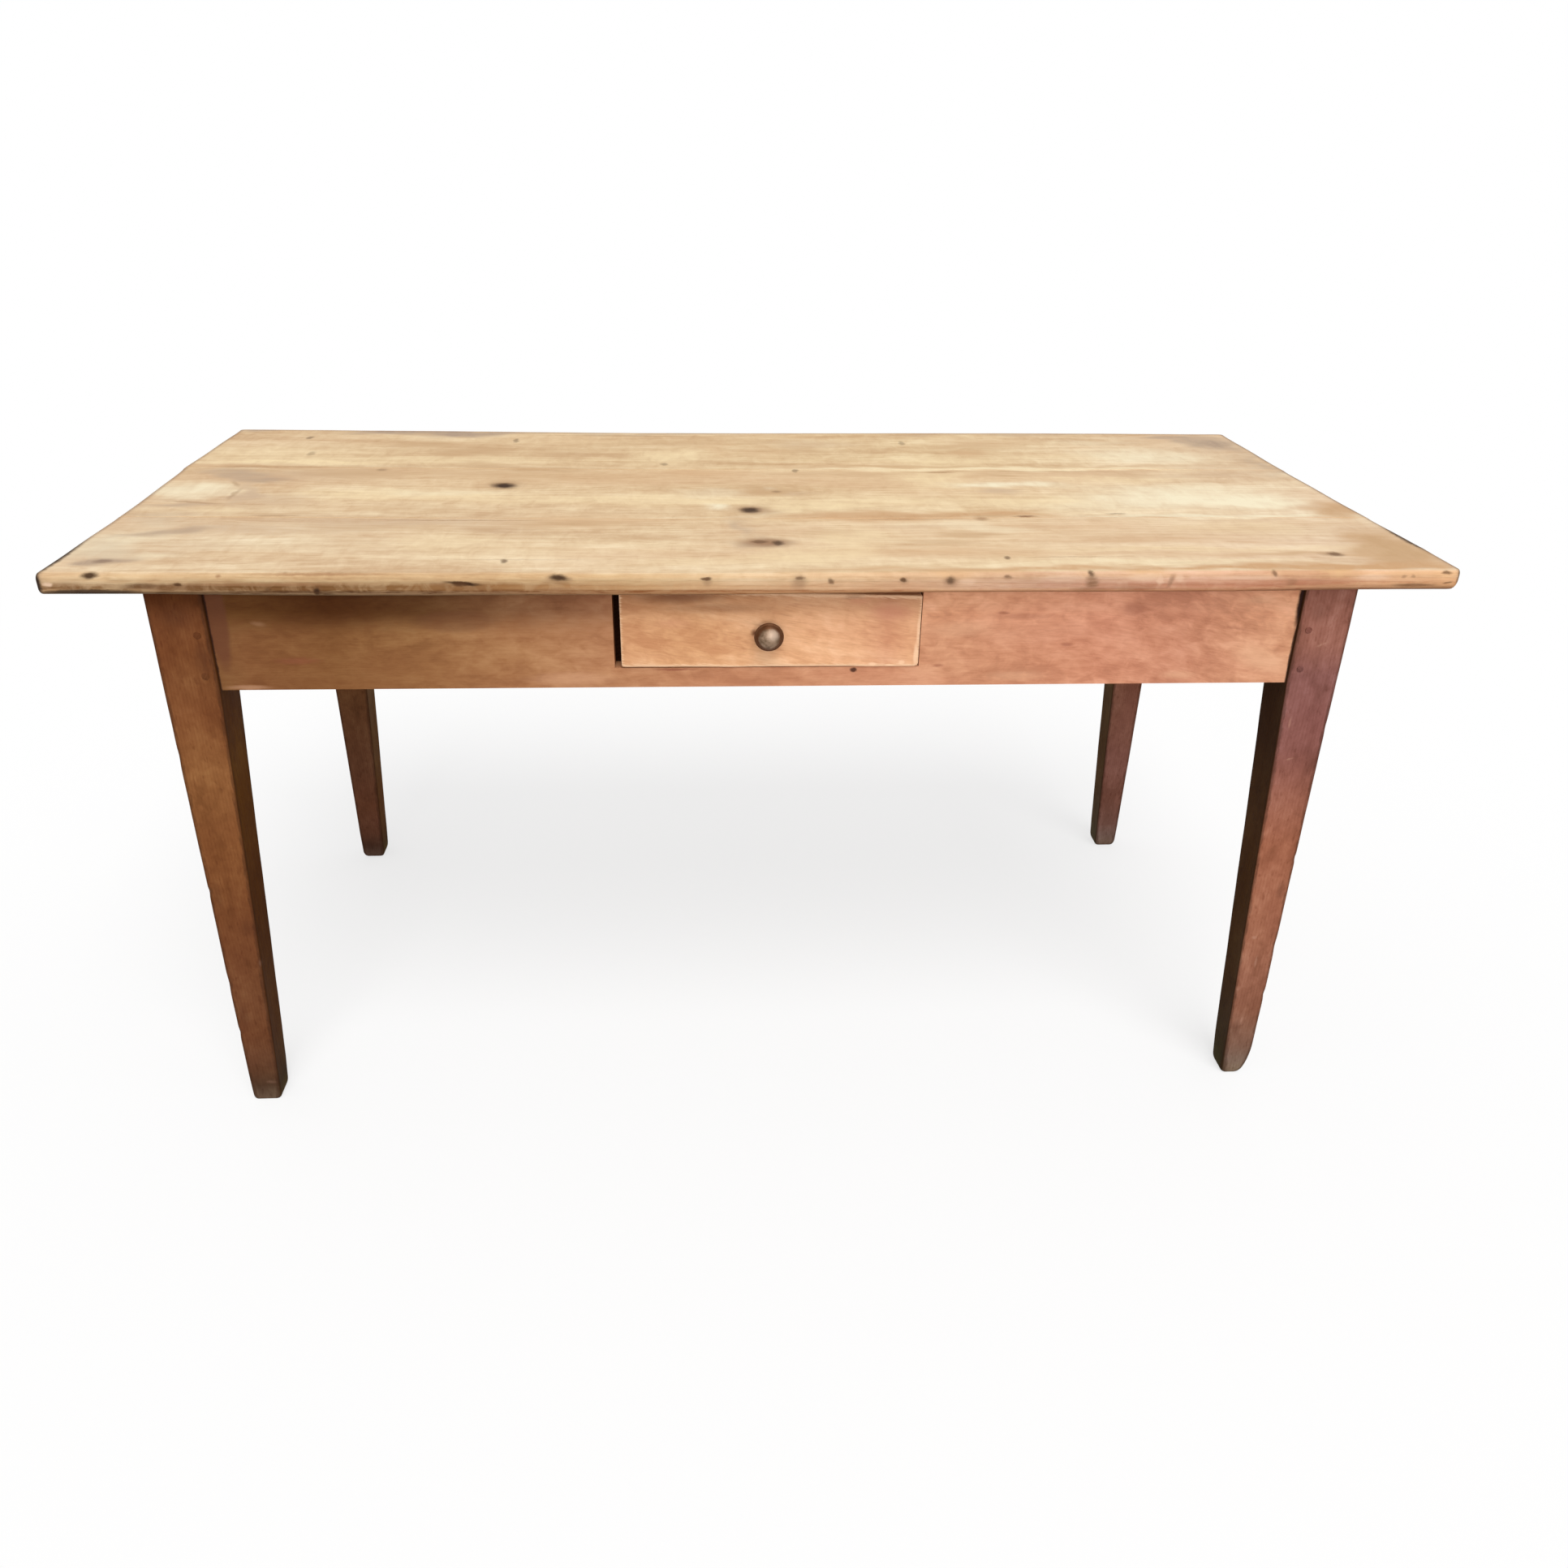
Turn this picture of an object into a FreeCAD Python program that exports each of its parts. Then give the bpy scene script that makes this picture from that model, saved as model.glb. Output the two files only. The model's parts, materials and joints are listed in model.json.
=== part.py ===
import FreeCAD
import Part
import math
import os

# Country tavern table: a three-board top on a pegged frame of four tapered legs
# and four aprons, with one drawer let into the front apron.
# Millimetres. Origin on the floor under the middle of the top, +X to the right
# along the length, -Y towards the drawer front, +Z up.

# ---- whole table ----
table_height = 760.0
top_length = 1620.0
top_width = 745.0
top_thickness = 25.0
edge_round = 8.0            # worn rounding along the top's upper and lower edges
corner_ease = 3.0           # how much rounder the corners are in plan than the edges
front_board_width = 228.0
back_board_width = 255.0
spline_thickness = 6.0      # loose tongue between two boards
spline_width = 20.0
spline_stop = 45.0          # the groove stops this far short of the end grain
spline_clearance = 0.15

# ---- legs and aprons ----
end_overhang = 109.0        # top past the legs' outer faces, at each end
side_overhang = 25.0        # the same, at front and back
leg_width = 64.0
foot_width = 38.0           # the two inner faces taper, the outer ones are plumb
foot_ease = 4.0             # worn bevel round the sole
apron_height = 126.0
apron_thickness = 22.0
apron_setback = 4.0         # apron face behind leg face
tenon_thickness = 10.0
tenon_face_shoulder = 6.0
tenon_top_shoulder = 15.0
tenon_bottom_shoulder = 7.0
tenon_tip_gap = 8.0         # wood left between a tenon's tip and the crossing tenon
mortise_clearance = 0.2
mortise_extra_depth = 1.5
peg_diameter = 8.5
peg_from_shoulder = 13.5
peg_past_tenon = 18.0
peg_proud = 0.6
peg_clearance = 0.05
long_peg_heights = [19.0, 69.0]    # above the apron's lower edge
end_peg_heights = [44.0, 95.0]     # staggered, so that pegs never meet

# ---- drawer opening and what the drawer runs on ----
opening_width = 361.0
opening_shift = 0.5         # opening's middle, right of the table's middle
opening_sill = 24.5         # apron left below the opening
runner_height = 20.0
runner_ledge = 15.0         # how far the runner reaches in under the drawer
guide_width = 14.0
guide_height = 94.0         # nearly up to the top, so that an open drawer can't tip
guide_clearance = 1.0
stub_length = 8.0           # stub tenons on the runners' ends
stub_thickness = 8.0
stub_width = 18.0
stop_length = 30.0
stop_height = 16.0
stop_clearance = 0.3
running_clearance = 0.3     # under the drawer's sides
guide_nail_diameter = 2.6
guide_nail_depth = 16.0     # into the guide
guide_nail_count = 3
guide_nail_inset = 60.0
nail_clearance = 0.05

# ---- drawer ----
drawer_gap_left = 8.0       # the drawer has worn over to the right
drawer_gap_right = 1.0
drawer_gap_top = 4.5
drawer_front_fall = 8.0     # its top edge falls by this much towards the right
drawer_proud = 2.5          # drawer front stands this far before the apron
drawer_depth = 560.0
drawer_front_thickness = 20.0
drawer_side_thickness = 11.0
drawer_side_drop = 2.0      # sides lower than the front's lower end
drawer_back_thickness = 11.0
drawer_back_drop = 6.0      # back lower than the sides
bottom_thickness = 7.0
bottom_raise = 8.0          # bottom panel above the sides' lower edges
bottom_groove_depth = 5.0
bottom_clearance = 0.2
bottom_nail_diameter = 2.2
bottom_nail_depth = 16.0
bottom_nail_count = 3
lap_thickness = 5.0         # wood left before the half-blind dovetails
tail_count = 3
tail_share = 0.62           # wide end of a tail, of one pitch
tail_slope = 0.17
glue_gap = 0.1

# ---- knob ----
knob_shift_x = -3.5         # from the middle of the drawer front
knob_shift_z = -4.6
knob_diameter = 35.0
knob_length = 25.0
knob_rim = 3.0              # straight band round the head
knob_dome = 9.0
knob_neck_diameter = 13.0
knob_base_diameter = 21.0
knob_base_thickness = 3.0
bolt_diameter = 4.0
bolt_head_diameter = 8.5
bolt_head_height = 2.6
bolt_depth_in_knob = 13.0
bolt_hole_clearance = 0.3
thread_clearance = 0.05
washer_diameter = 13.0
washer_thickness = 1.0

# ---- turn-buttons that hold the top down ----
button_reach = 36.0
button_width = 28.0
button_thickness = 18.0
button_tongue = 9.0
button_tongue_thickness = 8.0
button_pocket_clearance = 0.8
button_screw_reach = 20.0   # screw's distance from the apron
button_from_leg = 117.0
button_from_opening = 119.0
screw_diameter = 4.0
screw_head_diameter = 8.0
screw_head_height = 3.0
screw_point = 4.0
screw_depth_in_top = 14.0

# ---- places that follow from the sizes ----
frame_top = table_height - top_thickness
leg_outer_x = top_length / 2 - end_overhang
leg_outer_y = top_width / 2 - side_overhang
leg_inner_x = leg_outer_x - leg_width
leg_inner_y = leg_outer_y - leg_width
apron_bottom = frame_top - apron_height
apron_face_x = leg_outer_x - apron_setback
apron_face_y = leg_outer_y - apron_setback
apron_inside_x = apron_face_x - apron_thickness
apron_inside_y = apron_face_y - apron_thickness
tenon_outer = apron_setback + tenon_face_shoulder
tenon_length = leg_width - tenon_outer - tenon_thickness - tenon_tip_gap
joint_front_y = -top_width / 2 + front_board_width
joint_back_y = top_width / 2 - back_board_width

opening_left = opening_shift - opening_width / 2
opening_right = opening_shift + opening_width / 2
opening_bottom = apron_bottom + opening_sill
drawer_left = opening_left + drawer_gap_left
drawer_right = opening_right - drawer_gap_right
drawer_middle_x = (drawer_left + drawer_right) / 2
drawer_bottom_z = opening_bottom + running_clearance
drawer_top_z = frame_top - drawer_gap_top
side_top_z = drawer_top_z - drawer_front_fall - drawer_side_drop
back_top_z = side_top_z - drawer_back_drop
panel_z = drawer_bottom_z + bottom_raise
back_bottom_z = panel_z + bottom_thickness
drawer_face_y = -(apron_face_y + drawer_proud)
drawer_front_inside_y = drawer_face_y + drawer_front_thickness
drawer_rear_y = drawer_face_y + drawer_depth
drawer_back_inside_y = drawer_rear_y - drawer_back_thickness
knob_x = drawer_middle_x + knob_shift_x
knob_z = (drawer_bottom_z + drawer_top_z) / 2 + knob_shift_z

x_axis = FreeCAD.Vector(1, 0, 0)
y_axis = FreeCAD.Vector(0, 1, 0)
z_axis = FreeCAD.Vector(0, 0, 1)
origin = FreeCAD.Vector(0, 0, 0)


# Block between two values on each axis, given in any order.
def block(xs, ys, zs):
    corner = FreeCAD.Vector(min(xs), min(ys), min(zs))
    return Part.makeBox(max(xs) - min(xs), max(ys) - min(ys), max(zs) - min(zs), corner)


def rod(radius, length, start, direction):
    return Part.makeCylinder(radius, length, start, direction)


# Closed rectangle at one height.
def rectangle(xs, ys, z):
    points = [
        FreeCAD.Vector(xs[0], ys[0], z),
        FreeCAD.Vector(xs[1], ys[0], z),
        FreeCAD.Vector(xs[1], ys[1], z),
        FreeCAD.Vector(xs[0], ys[1], z),
        FreeCAD.Vector(xs[0], ys[0], z),
    ]
    return Part.makePolygon(points)


# ---- top ----

# The whole top before it is parted into boards: corners rounded in plan, then
# the upper and lower edges rounded all the way round.
def top_slab():
    slab = block(
        (-top_length / 2, top_length / 2),
        (-top_width / 2, top_width / 2),
        (frame_top, table_height),
    )
    upright = [edge for edge in slab.Edges if abs(edge.Length - top_thickness) < 0.01]
    slab = slab.makeFillet(edge_round + corner_ease, upright)
    level = [edge for edge in slab.Edges if edge.BoundBox.ZLength < 0.01]
    return slab.makeFillet(edge_round, level)


# Loose tongue across a board joint; grow makes the groove that it sits in.
def top_spline(joint_y, grow):
    half_length = top_length / 2 - spline_stop + grow
    half_width = spline_width / 2 + grow
    half_thickness = spline_thickness / 2 + grow
    middle_z = (frame_top + table_height) / 2
    return block(
        (-half_length, half_length),
        (joint_y - half_width, joint_y + half_width),
        (middle_z - half_thickness, middle_z + half_thickness),
    )


def top_board(slab, y_from, y_to, holes):
    width_only = block((-top_length, top_length), (y_from, y_to), (0, 2 * table_height))
    board = slab.common(width_only)
    for joint_y in (joint_front_y, joint_back_y):
        board = board.cut(top_spline(joint_y, spline_clearance))
    return board.cut(holes)


# ---- joints of the frame ----

# Tenon of a front or back apron at one end; grow makes the mortise.
def long_tenon(side_x, side_y, grow):
    extra = mortise_extra_depth if grow else 0.0
    near = side_y * (leg_outer_y - tenon_outer + grow)
    far = side_y * (leg_outer_y - tenon_outer - tenon_thickness - grow)
    return block(
        (side_x * leg_inner_x, side_x * (leg_inner_x + tenon_length + extra)),
        (near, far),
        (apron_bottom + tenon_bottom_shoulder - grow, frame_top - tenon_top_shoulder + grow),
    )


# Tenon of an end apron at its front or back end.
def end_tenon(side_x, side_y, grow):
    extra = mortise_extra_depth if grow else 0.0
    near = side_x * (leg_outer_x - tenon_outer + grow)
    far = side_x * (leg_outer_x - tenon_outer - tenon_thickness - grow)
    return block(
        (near, far),
        (side_y * leg_inner_y, side_y * (leg_inner_y + tenon_length + extra)),
        (apron_bottom + tenon_bottom_shoulder - grow, frame_top - tenon_top_shoulder + grow),
    )


# The two pegs through one tenon of a front or back apron, driven from the leg's
# front or back face; grow makes their holes.
def long_pegs(side_x, side_y, grow):
    length = tenon_outer + tenon_thickness + peg_past_tenon + peg_proud + grow
    pegs = []
    for height in long_peg_heights:
        start = FreeCAD.Vector(
            side_x * (leg_inner_x + peg_from_shoulder),
            side_y * (leg_outer_y + peg_proud),
            apron_bottom + height,
        )
        pegs.append(rod(peg_diameter / 2 + grow, length, start, y_axis * -side_y))
    return pegs


def end_pegs(side_x, side_y, grow):
    length = tenon_outer + tenon_thickness + peg_past_tenon + peg_proud + grow
    pegs = []
    for height in end_peg_heights:
        start = FreeCAD.Vector(
            side_x * (leg_outer_x + peg_proud),
            side_y * (leg_inner_y + peg_from_shoulder),
            apron_bottom + height,
        )
        pegs.append(rod(peg_diameter / 2 + grow, length, start, x_axis * -side_x))
    return pegs


# Square down to the aprons' lower edge, then tapered on the two inner faces.
def leg(side_x, side_y):
    xs = (side_x * leg_outer_x, side_x * leg_inner_x)
    ys = (side_y * leg_outer_y, side_y * leg_inner_y)
    foot_xs = (side_x * leg_outer_x, side_x * (leg_outer_x - foot_width))
    foot_ys = (side_y * leg_outer_y, side_y * (leg_outer_y - foot_width))
    sole = rectangle(foot_xs, foot_ys, 0)
    knee = rectangle(xs, ys, apron_bottom)
    shaft = Part.makeLoft([sole, knee], True, True)
    sole_edges = [edge for edge in shaft.Edges if edge.BoundBox.ZMax < 0.01]
    shaft = shaft.makeChamfer(foot_ease, sole_edges)
    square = block(xs, ys, (apron_bottom, frame_top))
    whole = shaft.fuse(square).removeSplitter()
    mortises = [
        long_tenon(side_x, side_y, mortise_clearance),
        end_tenon(side_x, side_y, mortise_clearance),
    ]
    holes = long_pegs(side_x, side_y, peg_clearance) + end_pegs(side_x, side_y, peg_clearance)
    return whole.cut(mortises + holes)


# ---- turn-buttons ----

# A button lies against the underside of the top, its tongue in a pocket of the
# apron. It is drawn at an apron whose inner face is the plane x = 0.
def button_wood():
    body = block(
        (0, button_reach),
        (-button_width / 2, button_width / 2),
        (frame_top - button_thickness, frame_top),
    )
    tongue = block(
        (-button_tongue, 0),
        (-button_width / 2, button_width / 2),
        (frame_top - button_thickness, frame_top - button_thickness + button_tongue_thickness),
    )
    return body.fuse(tongue).removeSplitter()


def button_pocket():
    half_width = button_width / 2 + button_pocket_clearance
    return block(
        (-button_tongue - button_pocket_clearance, 0),
        (-half_width, half_width),
        (
            frame_top - button_thickness - button_pocket_clearance,
            frame_top - button_thickness + button_tongue_thickness,
        ),
    )


# Countersunk screw up through the button into the top; grow makes its hole.
def button_screw(grow):
    low = frame_top - button_thickness
    shank = screw_diameter / 2 + grow
    head = Part.makeCone(
        screw_head_diameter / 2 + grow,
        shank,
        screw_head_height,
        FreeCAD.Vector(button_screw_reach, 0, low),
        z_axis,
    )
    shank_length = button_thickness + screw_depth_in_top - screw_head_height - screw_point
    shank_low = low + screw_head_height
    stem = rod(shank, shank_length, FreeCAD.Vector(button_screw_reach, 0, shank_low), z_axis)
    point = Part.makeCone(
        shank,
        shank / 4,
        screw_point + grow,
        FreeCAD.Vector(button_screw_reach, 0, shank_low + shank_length),
        z_axis,
    )
    return head.fuse([stem, point]).removeSplitter()


# Where the buttons stand on each apron: x, y on its inner face and the turn
# that points them into the table.
def button_places(side):
    near_leg = leg_inner_x - button_from_leg
    xs = (
        -near_leg,
        opening_left - button_from_opening,
        opening_right + button_from_opening,
        near_leg,
    )
    board_middles = (
        -top_width / 2 + front_board_width / 2,
        (joint_front_y + joint_back_y) / 2,
        top_width / 2 - back_board_width / 2,
    )
    if side == "front":
        return [(x, -apron_inside_y, 90) for x in xs]
    if side == "back":
        return [(x, apron_inside_y, -90) for x in xs]
    if side == "left":
        return [(-apron_inside_x, y, 0) for y in board_middles]
    return [(apron_inside_x, y, 180) for y in board_middles]


def at_buttons(shape, side):
    copies = []
    for x, y, turn in button_places(side):
        copy = shape.copy()
        copy.rotate(origin, z_axis, turn)
        copy.translate(FreeCAD.Vector(x, y, 0))
        copies.append(copy)
    return copies


# ---- drawer runners, guides and stops ----

# Outer and inner x of what lies beside and under one side of the drawer.
def drawer_edge(side_x):
    return drawer_right if side_x > 0 else drawer_left


def runner_xs(side_x):
    edge = drawer_edge(side_x)
    outer = edge + side_x * (guide_clearance + guide_width)
    return (outer, edge - side_x * runner_ledge)


# Stub tenon at the front (-1) or back (+1) end of a runner; grow makes its mortise.
def runner_stub(side_x, side_y, grow):
    xs = runner_xs(side_x)
    middle_x = (xs[0] + xs[1]) / 2
    middle_z = opening_bottom - runner_height / 2
    reach = stub_length + (mortise_extra_depth if grow else 0.0)
    return block(
        (middle_x - stub_width / 2 - grow, middle_x + stub_width / 2 + grow),
        (side_y * apron_inside_y, side_y * (apron_inside_y + reach)),
        (middle_z - stub_thickness / 2 - grow, middle_z + stub_thickness / 2 + grow),
    )


# Nails driven up through the runner into the guide; grow makes their holes.
def guide_nails(side_x, grow):
    edge = drawer_edge(side_x)
    x = edge + side_x * (guide_clearance + guide_width / 2)
    length = runner_height + guide_nail_depth
    first = -apron_inside_y + guide_nail_inset
    step = 2 * (apron_inside_y - guide_nail_inset) / (guide_nail_count - 1)
    nails = []
    for number in range(guide_nail_count):
        low = FreeCAD.Vector(x, first + number * step, opening_bottom - runner_height - grow)
        nails.append(rod(guide_nail_diameter / 2 + grow, length + 2 * grow, low, z_axis))
    return nails


def runner(side_x):
    body = block(
        runner_xs(side_x),
        (-apron_inside_y, apron_inside_y),
        (opening_bottom - runner_height, opening_bottom),
    )
    stubs = [runner_stub(side_x, side_y, 0) for side_y in (-1, 1)]
    body = body.fuse(stubs).removeSplitter()
    return body.cut(guide_nails(side_x, nail_clearance))


def guide(side_x):
    edge = drawer_edge(side_x)
    inner = edge + side_x * guide_clearance
    body = block(
        (inner, inner + side_x * guide_width),
        (-apron_inside_y, apron_inside_y),
        (opening_bottom, opening_bottom + guide_height),
    )
    return body.cut(guide_nails(side_x, nail_clearance))


# Block on the runner's ledge that the closed drawer comes up against.
def drawer_stop(side_x):
    edge = drawer_edge(side_x)
    start = drawer_rear_y + stop_clearance
    return block(
        (edge + side_x * guide_clearance, edge - side_x * runner_ledge),
        (start, start + stop_length),
        (opening_bottom, opening_bottom + stop_height),
    )


# ---- aprons ----

def long_apron(side_y):
    body = block(
        (-leg_inner_x, leg_inner_x),
        (side_y * apron_face_y, side_y * apron_inside_y),
        (apron_bottom, frame_top),
    )
    side = "back" if side_y > 0 else "front"
    cutters = at_buttons(button_pocket(), side)
    tenons = []
    for side_x in (-1, 1):
        tenons.append(long_tenon(side_x, side_y, 0))
        cutters += long_pegs(side_x, side_y, peg_clearance)
        cutters.append(runner_stub(side_x, side_y, mortise_clearance))
    return body.fuse(tenons).removeSplitter().cut(cutters)


# The front apron is one board, notched from its upper edge for the drawer.
def front_apron():
    notch = block(
        (opening_left, opening_right),
        (-apron_face_y - apron_thickness, -apron_inside_y + apron_thickness),
        (opening_bottom, frame_top + apron_height),
    )
    return long_apron(-1).cut(notch)


def end_apron(side_x):
    body = block(
        (side_x * apron_face_x, side_x * apron_inside_x),
        (-leg_inner_y, leg_inner_y),
        (apron_bottom, frame_top),
    )
    side = "right" if side_x > 0 else "left"
    cutters = at_buttons(button_pocket(), side)
    tenons = []
    for side_y in (-1, 1):
        tenons.append(end_tenon(side_x, side_y, 0))
        cutters += end_pegs(side_x, side_y, peg_clearance)
    return body.fuse(tenons).removeSplitter().cut(cutters)


# ---- drawer ----

# Dovetails on the end of a drawer side, from the shoulder at root_y to tip_y,
# wider at the tip; grow makes the sockets.
def tails(xs, root_y, tip_y, zs, grow):
    way = 1 if tip_y > root_y else -1
    pitch = (zs[1] - zs[0]) / tail_count
    length = abs(tip_y - root_y)
    inner = min(xs) - grow
    width = max(xs) - min(xs) + 2 * grow
    shapes = []
    for number in range(tail_count):
        middle = zs[0] + pitch * (number + 0.5)
        tip_half = pitch * tail_share / 2 + grow
        root_half = tip_half - length * tail_slope
        outline = [
            FreeCAD.Vector(inner, root_y, middle - root_half),
            FreeCAD.Vector(inner, tip_y + way * grow, middle - tip_half),
            FreeCAD.Vector(inner, tip_y + way * grow, middle + tip_half),
            FreeCAD.Vector(inner, root_y, middle + root_half),
            FreeCAD.Vector(inner, root_y, middle - root_half),
        ]
        face = Part.Face(Part.makePolygon(outline))
        shapes.append(face.extrude(x_axis * width))
    return shapes


def side_xs(side_x):
    edge = drawer_edge(side_x)
    return (edge, edge - side_x * drawer_side_thickness)


def front_tails(side_x, grow):
    zs = (drawer_bottom_z, side_top_z)
    return tails(side_xs(side_x), drawer_front_inside_y, drawer_face_y + lap_thickness, zs, grow)


def back_tails(side_x, grow):
    zs = (back_bottom_z, back_top_z)
    return tails(side_xs(side_x), drawer_back_inside_y, drawer_rear_y, zs, grow)


# Bottom panel, let into grooves of the sides and the front and running out
# under the back; grow makes the grooves.
def bottom_panel(grow):
    return block(
        (
            side_xs(-1)[1] - bottom_groove_depth + bottom_clearance - grow,
            side_xs(1)[1] + bottom_groove_depth - bottom_clearance + grow,
        ),
        (
            drawer_front_inside_y - bottom_groove_depth + bottom_clearance - grow,
            drawer_rear_y + grow,
        ),
        (panel_z - grow, back_bottom_z + grow),
    )


def bottom_nails(grow):
    y = (drawer_back_inside_y + drawer_rear_y) / 2
    first = side_xs(-1)[1]
    step = (side_xs(1)[1] - first) / (bottom_nail_count + 1)
    nails = []
    for number in range(bottom_nail_count):
        low = FreeCAD.Vector(first + step * (number + 1), y, panel_z)
        length = bottom_thickness + bottom_nail_depth + grow
        nails.append(rod(bottom_nail_diameter / 2 + grow, length, low, z_axis))
    return nails


def drawer_front():
    outline = [
        FreeCAD.Vector(drawer_left, drawer_face_y, drawer_bottom_z),
        FreeCAD.Vector(drawer_right, drawer_face_y, drawer_bottom_z),
        FreeCAD.Vector(drawer_right, drawer_face_y, drawer_top_z - drawer_front_fall),
        FreeCAD.Vector(drawer_left, drawer_face_y, drawer_top_z),
        FreeCAD.Vector(drawer_left, drawer_face_y, drawer_bottom_z),
    ]
    body = Part.Face(Part.makePolygon(outline)).extrude(y_axis * drawer_front_thickness)
    sockets = front_tails(-1, glue_gap) + front_tails(1, glue_gap)
    bolt_hole = rod(
        bolt_diameter / 2 + bolt_hole_clearance,
        2 * drawer_front_thickness,
        FreeCAD.Vector(knob_x, drawer_face_y - drawer_front_thickness / 2, knob_z),
        y_axis,
    )
    return body.cut(sockets + [bottom_panel(bottom_clearance), bolt_hole])


def drawer_side(side_x):
    body = block(
        side_xs(side_x),
        (drawer_front_inside_y, drawer_rear_y),
        (drawer_bottom_z, side_top_z),
    )
    back_joint = block(
        side_xs(side_x),
        (drawer_back_inside_y, drawer_rear_y),
        (back_bottom_z, back_top_z),
    )
    body = body.cut(back_joint)
    body = body.fuse(front_tails(side_x, 0) + back_tails(side_x, 0)).removeSplitter()
    return body.cut(bottom_panel(bottom_clearance))


def drawer_back():
    body = block(
        (drawer_left, drawer_right),
        (drawer_back_inside_y, drawer_rear_y),
        (back_bottom_z, back_top_z),
    )
    sockets = back_tails(-1, glue_gap) + back_tails(1, glue_gap)
    return body.cut(sockets + bottom_nails(nail_clearance))


def drawer_bottom():
    return bottom_panel(0).cut(bottom_nails(nail_clearance))


# ---- knob ----

# Turned knob: base, waisted neck, banded head with a low dome that is part of a
# ball, turned about an axis that points out of the drawer front.
def knob():
    base = knob_base_diameter / 2
    neck = knob_neck_diameter / 2
    head = knob_diameter / 2
    head_back = knob_length - knob_dome - knob_rim
    neck_middle = (knob_base_thickness + head_back) / 2
    flare = (head - neck) / 3
    ball = (head ** 2 + knob_dome ** 2) / (2 * knob_dome)
    half_turn = math.asin(head / ball) / 2

    def at(radius, out):
        return FreeCAD.Vector(radius, -out, 0)

    lines = [
        Part.LineSegment(at(0, 0), at(base, 0)),
        Part.LineSegment(at(base, 0), at(base, knob_base_thickness)),
        Part.Arc(
            at(base, knob_base_thickness),
            at(neck, neck_middle),
            at(neck + flare, head_back - flare / 2),
        ),
        Part.LineSegment(at(neck + flare, head_back - flare / 2), at(head, head_back)),
        Part.LineSegment(at(head, head_back), at(head, head_back + knob_rim)),
        Part.Arc(
            at(head, head_back + knob_rim),
            at(ball * math.sin(half_turn), knob_length - ball * (1 - math.cos(half_turn))),
            at(0, knob_length),
        ),
        Part.LineSegment(at(0, knob_length), at(0, 0)),
    ]
    outline = Part.Wire([line.toShape() for line in lines])
    turned = Part.Face(outline).revolve(origin, y_axis, 360)
    turned.translate(FreeCAD.Vector(knob_x, drawer_face_y, knob_z))
    socket = rod(
        bolt_diameter / 2 + thread_clearance,
        bolt_depth_in_knob + thread_clearance,
        FreeCAD.Vector(knob_x, drawer_face_y, knob_z),
        y_axis * -1,
    )
    return turned.cut(socket)


# Bolt from inside the drawer, through a washer and the drawer front.
def knob_bolt():
    seat = drawer_front_inside_y + washer_thickness
    length = washer_thickness + drawer_front_thickness + bolt_depth_in_knob
    stem = rod(bolt_diameter / 2, length, FreeCAD.Vector(knob_x, seat, knob_z), y_axis * -1)
    head = rod(
        bolt_head_diameter / 2,
        bolt_head_height,
        FreeCAD.Vector(knob_x, seat, knob_z),
        y_axis,
    )
    return stem.fuse(head).removeSplitter()


def knob_washer():
    start = FreeCAD.Vector(knob_x, drawer_front_inside_y, knob_z)
    disc = rod(washer_diameter / 2, washer_thickness, start, y_axis)
    return disc.cut(rod(bolt_diameter / 2 + bolt_hole_clearance, washer_thickness, start, y_axis))


# ---- all nodes ----

def top_nodes():
    slab = top_slab()
    screw_hole = button_screw(thread_clearance)
    holes = []
    for side in ("front", "back", "left", "right"):
        holes += at_buttons(screw_hole, side)
    return {
        "top_board_front": top_board(slab, -top_width, joint_front_y, holes),
        "top_board_middle": top_board(slab, joint_front_y, joint_back_y, holes),
        "top_board_back": top_board(slab, joint_back_y, top_width, holes),
        "top_spline_front": top_spline(joint_front_y, 0),
        "top_spline_back": top_spline(joint_back_y, 0),
    }


def frame_nodes():
    nodes = {
        "leg_front_left": leg(-1, -1),
        "leg_front_right": leg(1, -1),
        "leg_back_left": leg(-1, 1),
        "leg_back_right": leg(1, 1),
        "apron_front": front_apron(),
        "apron_back": long_apron(1),
        "apron_left": end_apron(-1),
        "apron_right": end_apron(1),
    }
    for name, side_y in (("front", -1), ("back", 1)):
        pegs = long_pegs(-1, side_y, 0) + long_pegs(1, side_y, 0)
        nodes["pegs_apron_" + name] = Part.makeCompound(pegs)
    for name, side_x in (("left", -1), ("right", 1)):
        pegs = end_pegs(side_x, -1, 0) + end_pegs(side_x, 1, 0)
        nodes["pegs_apron_" + name] = Part.makeCompound(pegs)
    return nodes


def button_nodes():
    wood = button_wood().cut(button_screw(thread_clearance))
    screw = button_screw(0)
    nodes = {}
    for side in ("front", "back", "left", "right"):
        nodes["top_buttons_" + side] = Part.makeCompound(at_buttons(wood, side))
        nodes["button_screws_" + side] = Part.makeCompound(at_buttons(screw, side))
    return nodes


def runner_nodes():
    nodes = {}
    for name, side_x in (("left", -1), ("right", 1)):
        nodes["drawer_runner_" + name] = runner(side_x)
        nodes["drawer_guide_" + name] = guide(side_x)
        nodes["drawer_stop_" + name] = drawer_stop(side_x)
        nodes["guide_nails_" + name] = Part.makeCompound(guide_nails(side_x, 0))
    return nodes


def drawer_nodes():
    return {
        "drawer_front": drawer_front(),
        "drawer_side_left": drawer_side(-1),
        "drawer_side_right": drawer_side(1),
        "drawer_back": drawer_back(),
        "drawer_bottom": drawer_bottom(),
        "drawer_bottom_nails": Part.makeCompound(bottom_nails(0)),
        "drawer_knob": knob(),
        "knob_bolt": knob_bolt(),
        "knob_washer": knob_washer(),
    }


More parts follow.
